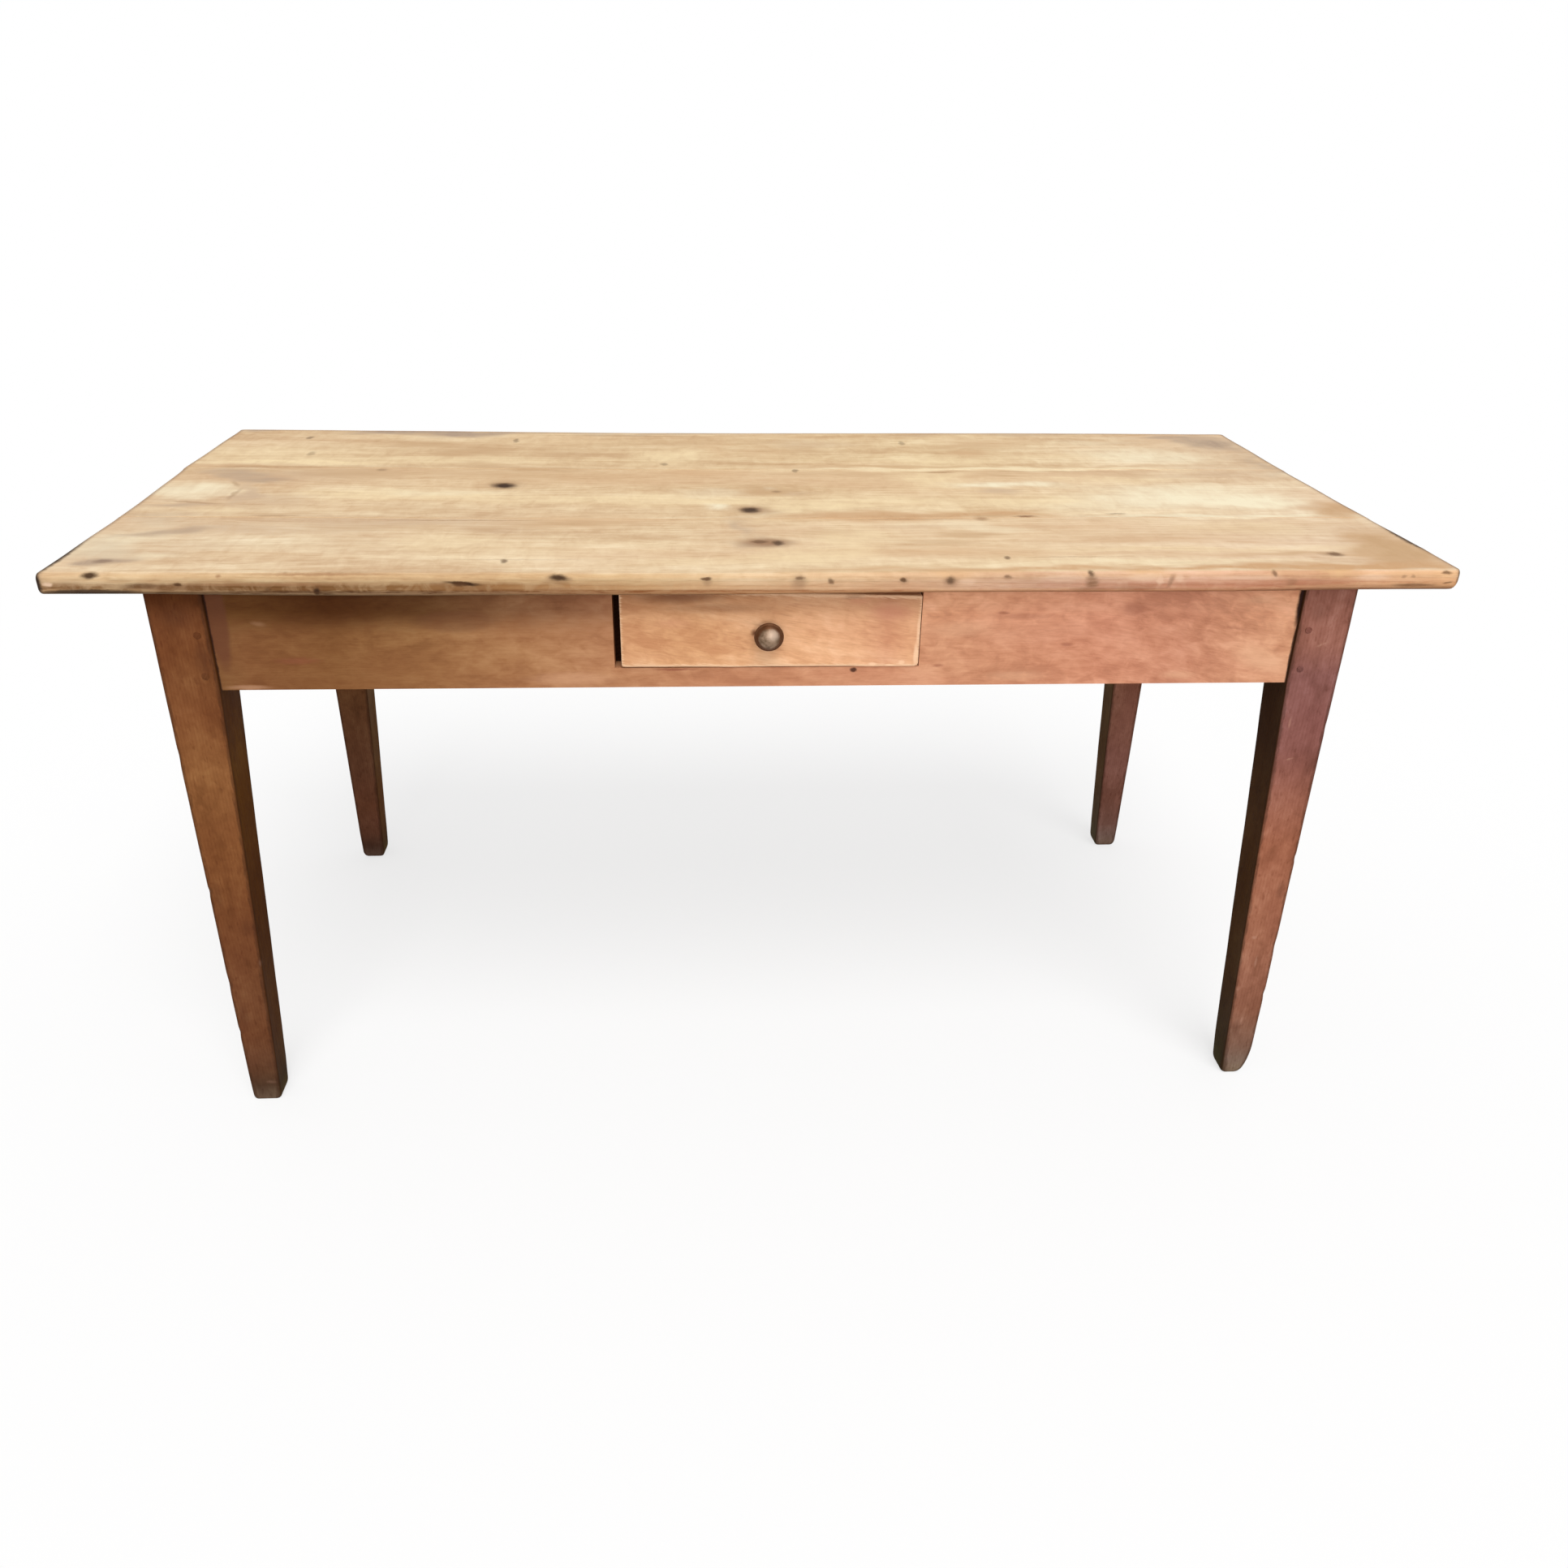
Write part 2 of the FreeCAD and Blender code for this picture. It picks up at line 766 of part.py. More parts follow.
def main():
    os.makedirs("parts", exist_ok=True)
    nodes = {}
    nodes.update(top_nodes())
    nodes.update(frame_nodes())
    nodes.update(button_nodes())
    nodes.update(runner_nodes())
    nodes.update(drawer_nodes())
    for name, shape in nodes.items():
        shape.exportStep("parts/" + name + ".step")
        print(name, len(shape.Solids), round(shape.Volume), shape.isValid())


main()
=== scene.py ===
import json
import math
import bpy
import numpy as np
from mathutils import Euler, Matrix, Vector

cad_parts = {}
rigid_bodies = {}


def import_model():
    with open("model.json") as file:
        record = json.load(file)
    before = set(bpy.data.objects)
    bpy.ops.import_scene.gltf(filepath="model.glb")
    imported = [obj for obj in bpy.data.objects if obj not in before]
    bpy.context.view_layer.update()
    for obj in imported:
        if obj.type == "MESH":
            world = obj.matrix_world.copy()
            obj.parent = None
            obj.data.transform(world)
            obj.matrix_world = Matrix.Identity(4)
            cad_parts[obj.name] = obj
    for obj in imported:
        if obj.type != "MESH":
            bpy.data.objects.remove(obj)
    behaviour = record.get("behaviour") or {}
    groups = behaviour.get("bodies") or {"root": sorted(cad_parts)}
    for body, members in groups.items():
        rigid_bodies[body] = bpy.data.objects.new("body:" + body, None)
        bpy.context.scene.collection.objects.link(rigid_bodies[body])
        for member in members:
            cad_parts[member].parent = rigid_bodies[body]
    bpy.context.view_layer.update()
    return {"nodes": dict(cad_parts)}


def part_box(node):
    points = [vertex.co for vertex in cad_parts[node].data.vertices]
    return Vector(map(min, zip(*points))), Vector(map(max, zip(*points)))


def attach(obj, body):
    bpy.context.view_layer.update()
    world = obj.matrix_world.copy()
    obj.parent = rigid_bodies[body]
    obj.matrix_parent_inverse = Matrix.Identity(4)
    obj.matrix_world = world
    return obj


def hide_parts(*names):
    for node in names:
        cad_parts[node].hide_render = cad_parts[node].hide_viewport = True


# Old country tavern table: waxed pine top, darker stained frame, one drawer.
# Metres; +X along the table, -Y out of the drawer front, +Z up.
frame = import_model()
nodes = frame["nodes"]
print("frame loaded:", len(nodes), "nodes")

tau = 2 * math.pi
arrisReach = 0.012      # how far from an arris its wear can be seen


# Meshes

# One object from arrays of points and faces of up to four corners; a face with the
# same corner twice is a triangle. Attributes are one number per point.
def makePiece(name, points, faces, body, slotName, replaced, attributes):
    mesh = bpy.data.meshes.new(name)
    corners = [tuple(dict.fromkeys(face)) for face in faces.tolist()]
    mesh.from_pydata(points.tolist(), [], corners)
    for key, values in attributes.items():
        layer = mesh.attributes.new(key, "FLOAT", "POINT")
        layer.data.foreach_set("value", np.ascontiguousarray(values, np.float32))
    mesh.polygons.foreach_set("use_smooth", np.ones(len(corners), bool))
    mesh.update()
    piece = bpy.data.objects.new(name, mesh)
    bpy.context.scene.collection.objects.link(piece)
    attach(piece, body)
    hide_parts(*replaced)


# Faces of a closed tube of rings (rings x around points) with a pole at each end,
# numbered ring by ring, then first pole, then last pole.
def tubeFaces(rings, around):
    ring, step = np.meshgrid(np.arange(rings - 1), np.arange(around), indexing="ij")
    nextStep = (step + 1) % around
    walls = np.stack([
        ring * around + step,
        ring * around + nextStep,
        (ring + 1) * around + nextStep,
        (ring + 1) * around + step,
    ], axis=-1).reshape(-1, 4)
    steps = np.arange(around)
    nextSteps = (steps + 1) % around
    firstPole = rings * around
    last = (rings - 1) * around
    head = np.stack([steps * 0 + firstPole, nextSteps, steps, steps], axis=-1)
    tail = np.stack([steps * 0 + firstPole + 1, last + steps, last + nextSteps, last + nextSteps], axis=-1)
    return np.concatenate([walls, head, tail])


# Smooth wandering line, about -1 to 1: a sum of sines with seeded phases, each lower
# than the one before.
def waver(along, seed, waves=(1.3, 2.9, 6.1, 13.0)):
    fall = 0.6
    phases = np.random.default_rng(seed).uniform(0, tau, len(waves))
    total = sum(fall ** k * np.sin(tau * wave * along + phases[k]) for k, wave in enumerate(waves))
    return total / sum(fall ** k for k in range(len(waves)))


# Rectangle with four round corners, one per station. A corner is a quarter circle
# centre + radius * (cos, sin); a side runs between two corners with its points
# spaced by half of 1 - cos, so that they crowd towards the corners.
# Bounds and radii are arrays over the stations. Returns the two coordinates and
# how near each point is to an arris, 1 on it and 0 out of its reach.
def roundedLoops(lowB, highB, lowC, highC, radii, sideSteps, cornerSteps=4):
    angles = np.linspace(0, math.pi / 2, cornerSteps + 1)
    arcs = []
    for corner in range(4):
        signB = 1 if corner in (0, 3) else -1
        signC = 1 if corner in (0, 1) else -1
        radius = radii[corner][:, None]
        turn = angles + corner * math.pi / 2
        centreB = (highB if signB > 0 else lowB)[:, None] - signB * radius
        centreC = (highC if signC > 0 else lowC)[:, None] - signC * radius
        arcs.append((centreB + radius * np.cos(turn), centreC + radius * np.sin(turn)))
    loopB, loopC, nearness = [], [], []
    for corner, (b, c) in enumerate(arcs):
        nextB, nextC = arcs[(corner + 1) % 4]
        steps = sideSteps[corner % 2]
        share = (1 - np.cos(math.pi * np.arange(1, steps + 1) / (steps + 1))) / 2
        runB, runC = nextB[:, :1] - b[:, -1:], nextC[:, :1] - c[:, -1:]
        away = np.minimum(share, 1 - share) * np.hypot(runB, runC)
        loopB += [b, b[:, -1:] + runB * share]
        loopC += [c, c[:, -1:] + runC * share]
        nearness += [np.ones_like(b), np.clip(1 - away / arrisReach, 0, 1)]
    return np.concatenate(loopB, 1), np.concatenate(loopC, 1), np.concatenate(nearness, 1)


# How far a rounded end has drawn in at a distance from the end:
# radius - sqrt(radius^2 - (radius - distance)^2), nothing past the radius.
def endInset(distance, radius):
    rest = np.clip(radius - distance, 0, radius)
    return radius - np.sqrt(np.maximum(radius ** 2 - rest ** 2, 0))


# Smooth step from 0 to 1 between two places: share^2 * (3 - 2 share).
def ease(value, start, end):
    share = np.clip((value - start) / (end - start), 0, 1)
    return share * share * (3 - 2 * share)


# Stations along a bar, crowded in both rounded ends by the cosine of an even angle.
def barStations(low, high, lowRadius, highRadius, count, endSteps=6):
    turn = np.linspace(0, math.pi / 2, endSteps + 1)
    head = low + lowRadius * (1 - np.cos(turn))
    tail = high - highRadius * (1 - np.cos(turn[::-1]))
    return np.concatenate([head, np.linspace(head[-1], tail[0], count)[1:-1], tail])


# A closed bar from its loops, its ends closed on their middles. The order, xyz or
# zxy, says which axis runs along, then which are the loop's two coordinates. Places
# along are one per loop, or one per point where a loop isn't flat; the fields are
# further attributes, each a number per point.
def barPiece(name, along, b, c, nearness, order, fields=None, **kind):
    rings, around = b.shape
    along = along.reshape(rings, -1) + 0 * b
    columns = dict(zip(order, [np.append(each, each[[0, -1]].mean(1)) for each in (along, b, c)]))
    points = np.stack([columns[axis] for axis in "xyz"], axis=-1)
    layers = {"arris": nearness, **(fields or {})}
    attributes = {key: np.append(each, [0.0, 0.0]) for key, each in layers.items()}
    makePiece(name, points, tubeFaces(rings, around), attributes=attributes, **kind)


# Broad soft patches on a face, each (x, y, half-sizes, strength, tilt in degrees):
# strength * exp(-distance^3), the distance counted in half-sizes, added up to 1 at
# most. Their outlines wander by sines.
def patchField(x, y, patches):
    wanderX = x + 0.010 * np.sin(37 * x + 61 * y) + 0.005 * np.sin(97 * x - 131 * y)
    wanderY = y + 0.005 * np.sin(29 * x - 53 * y + 1.0) + 0.003 * np.sin(83 * x + 149 * y + 2.0)
    total = 0.0 * x
    for placeX, placeY, halfX, halfY, strength, *tilt in patches:
        turn = math.radians(tilt[0]) if tilt else 0.0
        alongX = (wanderX - placeX) * math.cos(turn) + (wanderY - placeY) * math.sin(turn)
        alongY = (wanderY - placeY) * math.cos(turn) - (wanderX - placeX) * math.sin(turn)
        total = total + strength * np.exp(-((alongX / halfX) ** 2 + (alongY / halfY) ** 2) ** 1.5)
    return np.clip(total, 0, 1)


# Table top

top = {
    "upperRound": 0.0055,     # worn arris of the face, all round
    "lowerRound": (0.0030, 0.0050, 0.0095),   # arris below: along the middle, at the left and right ends
    "lowerGrows": (0.52, 0.74),       # between these distances from the middle
    "edgeWear": 0.0009,       # how much these rounds vary
    "cornerRound": {"front": (0.0045, 0.013), "back": (0.011, 0.011)},    # in plan, left and right
    "jointEase": 0.0009,      # small round along the joints between boards
    "sag": 0.0006,            # unevenness of faces and edges, inwards only
    "hollow": (-0.15, 0.42, 0.0026),  # broad worn hollow of the face: place, reach, depth
    # the ends aren't square: inset, and where along y it starts and is full
    "skewLeft": (0.0095, 0.11, -0.14),
    "skewRight": (0.0100, -0.28, 0.08),
    "skewFade": 0.25,
    "skewCurve": 0.65,        # power of the way along the end
    "faceSag": 0.25,          # share of the sag that runs along a whole face
    "swell": (1.6, 0.4, 0.7),    # waves across a board, their wandering, their share of the sag
    "swellDepth": 0.004,      # they fade out this far below the face
    "stations": 330,
    "endSteps": 9,
    "steps": (58, 10),        # points across a face and down an edge
    "cornerSteps": 6,
    # patches of tone on the face: bleached, yellow, tanned, reddish, and two greys of old dirt
    "patches": {
        "pale": [
            (-0.75, -0.016, 0.058, 0.046, 0.72), (-0.77, -0.26, 0.06, 0.036, 0.6, 35),
            (-0.715, -0.305, 0.06, 0.018, 0.4), (-0.74, -0.16, 0.04, 0.03, 0.25),
            (-0.058, -0.086, 0.022, 0.016, 0.9), (-0.06, -0.015, 0.04, 0.024, 0.35),
            (0.6, -0.05, 0.145, 0.048, 1.0), (0.68, -0.078, 0.05, 0.022, 0.7),
            (0.61, 0.01, 0.14, 0.022, 0.4), (0.62, 0.205, 0.1, 0.05, 0.65), (0.56, 0.3, 0.08, 0.016, 0.3),
            (0.35, 0.028, 0.08, 0.016, 0.9), (0.23, -0.178, 0.06, 0.018, 0.3),
            (0.3, -0.195, 0.05, 0.014, 0.35), (0.44, -0.09, 0.06, 0.02, 0.35),
            (0.03, 0.01, 0.012, 0.008, 0.7), (-0.43, -0.02, 0.08, 0.016, 0.35),
            (-0.6, -0.255, 0.08, 0.03, 0.25), (0.45, -0.3345, 0.17, 0.007, 0.25),
            (0.6, -0.138, 0.19, 0.0085, 0.85), (0.36, 0.1195, 0.31, 0.0085, 0.35),
        ],
        "straw": [
            (-0.47, -0.03, 0.13, 0.03, 0.6), (-0.3, -0.052, 0.14, 0.024, 0.35),
            (-0.14, -0.052, 0.11, 0.032, 0.4), (-0.04, -0.06, 0.06, 0.02, 0.6),
            (0.07, -0.082, 0.06, 0.03, 0.6), (0.17, -0.06, 0.08, 0.026, 0.4),
            (-0.7, 0.19, 0.13, 0.05, 0.38), (-0.65, 0.149, 0.18, 0.014, 0.6),
            (-0.45, 0.175, 0.12, 0.026, 0.4), (-0.12, 0.2, 0.06, 0.05, 0.6),
            (-0.25, 0.17, 0.12, 0.026, 0.2), (-0.3, 0.29, 0.1, 0.026, 0.2),
            (-0.2, -0.275, 0.17, 0.045, 0.1), (-0.05, -0.325, 0.1, 0.02, 0.25),
            (-0.38, -0.255, 0.06, 0.05, 0.3), (0.11, -0.235, 0.05, 0.06, 0.45),
            (0.05, -0.305, 0.07, 0.026, 0.5), (0.25, 0.055, 0.05, 0.048, 0.6),
            (0.28, 0.168, 0.1, 0.03, 0.45), (0.39, -0.065, 0.1, 0.036, 0.5),
            (0.62, -0.19, 0.09, 0.034, 0.35), (0.45, -0.3345, 0.18, 0.009, 0.32),
            (0.36, 0.1195, 0.31, 0.01, 0.8), (0.64, -0.285, 0.14, 0.014, 0.35),
            (0.5, 0.06, 0.12, 0.02, 0.35), (0.43, -0.285, 0.12, 0.01, 0.35), (0.5, 0.2, 0.12, 0.02, 0.25),
            (-0.69, -0.115, 0.06, 0.012, 0.25),
        ],
        "tan": [
            (-0.4, 0.235, 0.05, 0.036, 0.75), (-0.445, 0.215, 0.034, 0.026, 0.5),
            (-0.505, 0.27, 0.05, 0.03, 0.65), (-0.28, 0.215, 0.05, 0.03, 0.4),
            (-0.39, 0.14, 0.06, 0.02, 0.5), (0.39, 0.292, 0.07, 0.04, 0.3),
            (-0.28, -0.168, 0.05, 0.02, 0.3), (-0.49, -0.235, 0.06, 0.02, 0.1),
            (0.335, 0.25, 0.06, 0.06, 0.3), (0.045, 0.28, 0.08, 0.07, 0.15),
            (0.08, 0.25, 0.034, 0.03, 0.3), (-0.58, 0.085, 0.06, 0.028, 0.4),
            (-0.4, 0.085, 0.2, 0.03, 0.35), (-0.22, -0.165, 0.06, 0.018, 0.5),
            (-0.45, -0.105, 0.11, 0.018, 0.25), (-0.34, -0.19, 0.026, 0.012, 0.5),
            (0.35, 0.086, 0.036, 0.009, 0.5), (0.35, 0.101, 0.3, 0.0055, 0.2),
            (0.275, 0.099, 0.036, 0.007, 0.5), (0.26, -0.217, 0.04, 0.012, 0.6),
            (0.21, -0.25, 0.05, 0.014, 0.45), (0.015, -0.003, 0.05, 0.022, 0.9),
            (0.64, -0.305, 0.06, 0.008, 0.5), (-0.305, 0.11, 0.05, 0.012, 0.8),
            (-0.7, 0.118, 0.12, 0.007, 0.6), (0.5, -0.153, 0.24, 0.008, 0.12),
            (0.765, -0.28, 0.05, 0.066, 0.85), (0.775, -0.108, 0.026, 0.042, 0.55),
            (0.2, -0.13, 0.13, 0.012, 0.35), (-0.2, 0.27, 0.11, 0.03, 0.2),
            (-0.62, -0.13, 0.06, 0.01, 0.5), (-0.48, -0.19, 0.1, 0.016, 0.3),
            (0.12, 0.09, 0.1, 0.012, 0.4), (0.2, 0.138, 0.16, 0.007, 0.5), (-0.1, 0.3, 0.06, 0.03, 0.3),
            (0.54, 0.138, 0.12, 0.007, 0.3), (0.62, 0.3, 0.1, 0.03, 0.2),
            (-0.14, -0.23, 0.05, 0.014, 0.3), (0.09, -0.2, 0.03, 0.012, 0.3),
            (0.51, 0.085, 0.18, 0.012, 0.25), (0.3, -0.142, 0.012, 0.012, 0.6),
        ],
        "rust": [
            (-0.23, -0.16, 0.08, 0.036, 0.4), (-0.2, 0.07, 0.22, 0.034, 0.2),
            (0.12, 0.035, 0.09, 0.04, 0.1), (0.2, -0.13, 0.15, 0.018, 0.95),
            (0.1, -0.15, 0.09, 0.014, 0.4), (0.33, -0.128, 0.06, 0.012, 0.5),
            (0.775, -0.11, 0.03, 0.05, 0.8), (0.765, -0.28, 0.05, 0.075, 0.85),
            (0.74, -0.352, 0.08, 0.02, 0.75), (0.64, -0.352, 0.13, 0.012, 0.75),
            (0.38, -0.359, 0.34, 0.01, 0.85), (0.02, 0.22, 0.03, 0.06, 0.2),
            (0.37, 0.295, 0.07, 0.03, 0.35), (0.34, 0.22, 0.03, 0.02, 0.45),
            (0.5, -0.2, 0.22, 0.046, 0.25), (0.5, -0.245, 0.12, 0.014, 0.25),
            (0.25, -0.29, 0.15, 0.016, 0.35), (0.56, -0.305, 0.2, 0.008, 0.3),
            (0.72, -0.17, 0.05, 0.012, 0.35), (-0.08, 0.1, 0.06, 0.012, 0.3),
            (-0.05, 0.25, 0.02, 0.06, 0.25),
        ],
        "mauve": [
            (-0.62, 0.08, 0.09, 0.034, 0.5), (-0.45, -0.165, 0.16, 0.022, 0.55),
            (-0.5, -0.26, 0.05, 0.06, 0.1), (-0.68, -0.028, 0.014, 0.052, 0.7, 10),
            (-0.74, -0.088, 0.054, 0.011, 0.65), (-0.7, 0.045, 0.03, 0.016, 0.5, -40),
            (-0.74, 0.09, 0.04, 0.016, 0.4), (-0.64, -0.06, 0.05, 0.04, 0.45),
            (-0.69, -0.19, 0.1, 0.04, 0.3), (-0.69, -0.27, 0.07, 0.03, 0.25),
            (0.1, 0.29, 0.07, 0.03, 0.35), (0.335, -0.01, 0.036, 0.014, 0.75),
            (0.06, -0.02, 0.03, 0.012, 0.5), (0.765, 0.16, 0.026, 0.08, 0.4),
            (-0.02, -0.18, 0.02, 0.05, 0.4), (-0.56, -0.2, 0.12, 0.02, 0.35),
            (0.7, 0.11, 0.08, 0.04, 0.25), (-0.33, -0.195, 0.05, 0.014, 0.4),
            (0.64, 0.08, 0.12, 0.014, 0.2), (0.68, 0.34, 0.1, 0.012, 0.4),
        ],
        "grey": [
            (-0.715, 0.075, 0.05, 0.022, 0.55, -35), (-0.672, 0.036, 0.03, 0.016, 0.5),
            (-0.75, -0.085, 0.045, 0.007, 0.35), (-0.765, -0.285, 0.03, 0.05, 0.25, 35),
            (-0.715, -0.212, 0.055, 0.014, 0.7, 22), (-0.75, -0.15, 0.045, 0.024, 0.2),
            (-0.745, -0.329, 0.022, 0.015, 1.0, 12), (-0.775, 0.36, 0.03, 0.01, 0.7),
            (-0.56, 0.357, 0.08, 0.02, 1.0), (-0.455, 0.347, 0.055, 0.02, 1.0),
            (-0.39, 0.362, 0.04, 0.01, 0.7), (-0.2, 0.358, 0.2, 0.008, 0.35),
            (0.732, 0.305, 0.034, 0.055, 0.7), (0.772, 0.285, 0.026, 0.05, 0.75),
            (0.78, 0.15, 0.014, 0.07, 0.4), (-0.004, -0.25, 0.026, 0.018, 0.7),
            (0.000, -0.103, 0.028, 0.018, 0.35), (-0.028, -0.18, 0.01, 0.04, 0.3),
            (0.28, 0.35, 0.06, 0.01, 0.3), (0.45, 0.358, 0.1, 0.008, 0.35),
            (0.692, 0.345, 0.03, 0.014, 0.6),
        ],
    },
    # the front edge hangs a little lower in front of the apron: depth, and where along
    # y it starts and is full; along x it fades out between two distances from a place
    "lip": (0.0024, -0.351, -0.360),
    "lipRun": (-0.25, 0.15, 0.50),
    "lipBelow": (0.008, 0.012),   # how far below the face it starts, and over what depth it grows
    "aloft": (0.012, 0.006),      # lowest place of tone patches below the face, and their fade above it
    # darker on the upper arris at the left end, right end and back: strength, where it
    # starts to fade, counted from the side, and how softly
    "rimDarkening": {
        "left": (0.70, 0.0036, 0.0034),
        "right": (0.90, 0.0036, 0.0038),
        "back": (0.60, 0.0045, 0.0060),
    },
    # knocks in the front edge: reach inwards, middle below the face and reach up and
    # down, share pushed in and down, then place, half-length and depth of each
    "dentReach": (0.010, 0.002, 0.009),
    "dentPush": 0.7,
    "dents": [
        (-0.74, 0.01, 0.0018), (-0.345, 0.024, 0.0016), (-0.237, 0.012, 0.0015), (-0.07, 0.006, 0.0007),
        (0.033, 0.01, 0.0008), (0.206, 0.01, 0.0014), (0.369, 0.01, 0.0018), (0.463, 0.014, 0.001),
        (0.582, 0.004, 0.0015), (0.79, 0.008, 0.0024), (-0.788, 0.008, 0.0014),
    ],
}


# One board of the top. Its outer side is rounded above and below, its joint sides
# have a small ease, and towards the ends the faces draw in as a quarter circle does.
def makeBoard(name, side, seed):
    low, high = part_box(name)
    lowerMiddle, lowerLeft, lowerRight = top["lowerRound"]
    x = barStations(low.x, high.x, lowerLeft, lowerRight, top["stations"], top["endSteps"])
    above = endInset(np.minimum(x - low.x, high.x - x), top["upperRound"])
    below = endInset(x - low.x, lowerLeft) + endInset(high.x - x, lowerRight)
    place, reach, depth = top["hollow"]
    sag = top["sag"]
    hollow = depth * np.exp(-((x - place) / reach) ** 2)
    upper = high.z - above - hollow - sag * top["faceSag"] * (1 + waver(x, seed))
    lower = low.z + below
    wander = sag * (0.5 + 0.5 * waver(x, seed + 1, (0.7, 1.9, 4.3, 9.0)))
    roundLeft, roundRight = top["cornerRound"].get(side, (0.0, 0.0))
    corners = endInset(x - low.x, roundLeft) + endInset(high.x - x, roundRight)
    front = low.y + (corners + wander if side == "front" else 0 * x)
    back = high.y - (corners + wander if side == "back" else 0 * x)
    wear = top["edgeWear"] * waver(x, seed + 2, (2.1, 5.3, 11.0, 23.0))
    roundUp = top["upperRound"] + wear
    lowerEnd = np.where(x < 0, lowerLeft, lowerRight)
    roundDown = lowerMiddle + (lowerEnd - lowerMiddle) * ease(np.abs(x), *top["lowerGrows"]) + wear * 0.5
    tiny = np.full_like(x, top["jointEase"])
    radii = [
        roundUp if side == "back" else tiny, roundUp if side == "front" else tiny,
        roundDown if side == "front" else tiny, roundDown if side == "back" else tiny,
    ]
    radii = [np.minimum(each, (upper - lower) * 0.45) for each in radii]
    y, z, nearness = roundedLoops(front, back, lower, upper, radii, top["steps"], top["cornerSteps"])
    if side == "front":
        inwards, middle, upDown = top["dentReach"]
        near = np.exp(-((y - low.y) / inwards) ** 2 - ((z - high.z + middle) / upDown) ** 2)
        for place, half, depth in top["dents"]:
            dent = depth * np.exp(-((x[:, None] - place) / half) ** 2) * near
            y = y + dent * top["dentPush"]
            z = z - dent * top["dentPush"]
        drop, start, full = top["lip"]
        place, near, far = top["lipRun"]
        hang = drop * (1 - ease(np.abs(x - place), near, far))[:, None] * ease(y, start, full)
        lipFrom, lipGrowth = top["lipBelow"]
        z = z - hang * np.clip((high.z - lipFrom - z) / lipGrowth, 0, 1)
    # shallow hollows of a planed and scrubbed face
    across = (y - low.y) / (high.y - low.y)
    waves, wandering, swellShare = top["swell"]
    swell = 0.5 + 0.5 * np.sin(tau * (across * waves + wandering * waver(x, seed + 3)[:, None]))
    fade = top["swellDepth"]
    nearFace = np.clip((z - upper[:, None] + fade) / fade, 0, 1) * (1 - nearness)
    z = z - sag * swellShare * swell * nearFace
    # ends out of square: inset * (share of the way along the end)^curve, fading inwards
    skewed = x[:, None] + 0 * y
    for skew, distance, way in ((top["skewLeft"], x - low.x, 1), (top["skewRight"], high.x - x, -1)):
        inset, start, full = skew
        share = np.clip((y - start) / (full - start), 0, 1) ** top["skewCurve"]
        skewed = skewed + way * inset * share * (1 - ease(distance, 0, top["skewFade"]))[:, None]
    lowest, fadeHeight = top["aloft"]
    aloft = np.clip((z - high.z + lowest) / fadeHeight, 0, 1)
    fields = {key: patchField(skewed, y, patches) * aloft for key, patches in top["patches"].items()}
    fromSides = {
        "left": (x - low.x)[:, None],
        "right": (high.x - x)[:, None],
        "back": high.y - y + (side != "back"),    # a metre off on the other boards
    }
    fields["rim"] = 0 * y
    for edge, (strength, fadeFrom, softness) in top["rimDarkening"].items():
        faded = np.maximum(fromSides[edge] - fadeFrom, 0) / softness
        fields["rim"] = fields["rim"] + aloft * strength * np.exp(-faded ** 2)
    barPiece(
        name.replace("top_board", "board"), skewed, y, z, nearness, "xyz",
        fields=fields, body="table_frame", slotName="top_pine", replaced=[name],
    )


for index, side in enumerate(("front", "middle", "back")):
    makeBoard("top_board_" + side, side, 11 + 7 * index)
print("top made")


# Legs

leg = {
    "footWidth": 0.038,
    "arris": 0.0021,
    "arrisWear": 0.0011,
    "footArris": 0.003,       # arrises get rounder by this much at the floor
    "toeHeight": 0.042,       # from this height down
    "sway": 0.0005,           # hand-planed unevenness of the faces
    "stations": 150,
    "footZone": (0.030, 14),  # height at the foot where stations crowd, and how many
    "topRound": 0.0006,
    "steps": (9, 9),
    # worn feet: how far in and how high the outer and inner x sides, then the outer
    # and inner y sides, are rounded at the floor
    "toes": {
        "front_left": ((0.0030, 0.008), (0.0032, 0.010), (0.0020, 0.005), (0.0030, 0.008)),
        "front_right": ((0.0150, 0.052), (0.0040, 0.012), (0.0040, 0.010), (0.0035, 0.010)),
        "back_left": ((0.0050, 0.012), (0.0050, 0.014), (0.0040, 0.010), (0.0050, 0.012)),
        "back_right": ((0.0060, 0.014), (0.0050, 0.014), (0.0040, 0.010), (0.0050, 0.012)),
    },
    # knocks on the outer front arris: height, half-length, depth
    "knocks": [(0.11, 0.006, 0.0008), (0.19, 0.012, 0.0006), (0.33, 0.005, 0.0008), (0.52, 0.009, 0.0005)],
    "knockReach": 0.006,
    "knockShift": 0.03,       # up or down by at most this much from leg to leg
}


# How far a worn foot is in from its side: a quarter ellipse, deep at the floor and
# nothing from the height up: depth * (1 - sqrt(1 - (1 - z / height)^2)).
def toeInset(z, depth, height):
    rest = np.clip(1 - z / height, 0, 1)
    return depth * (1 - np.sqrt(1 - rest ** 2))


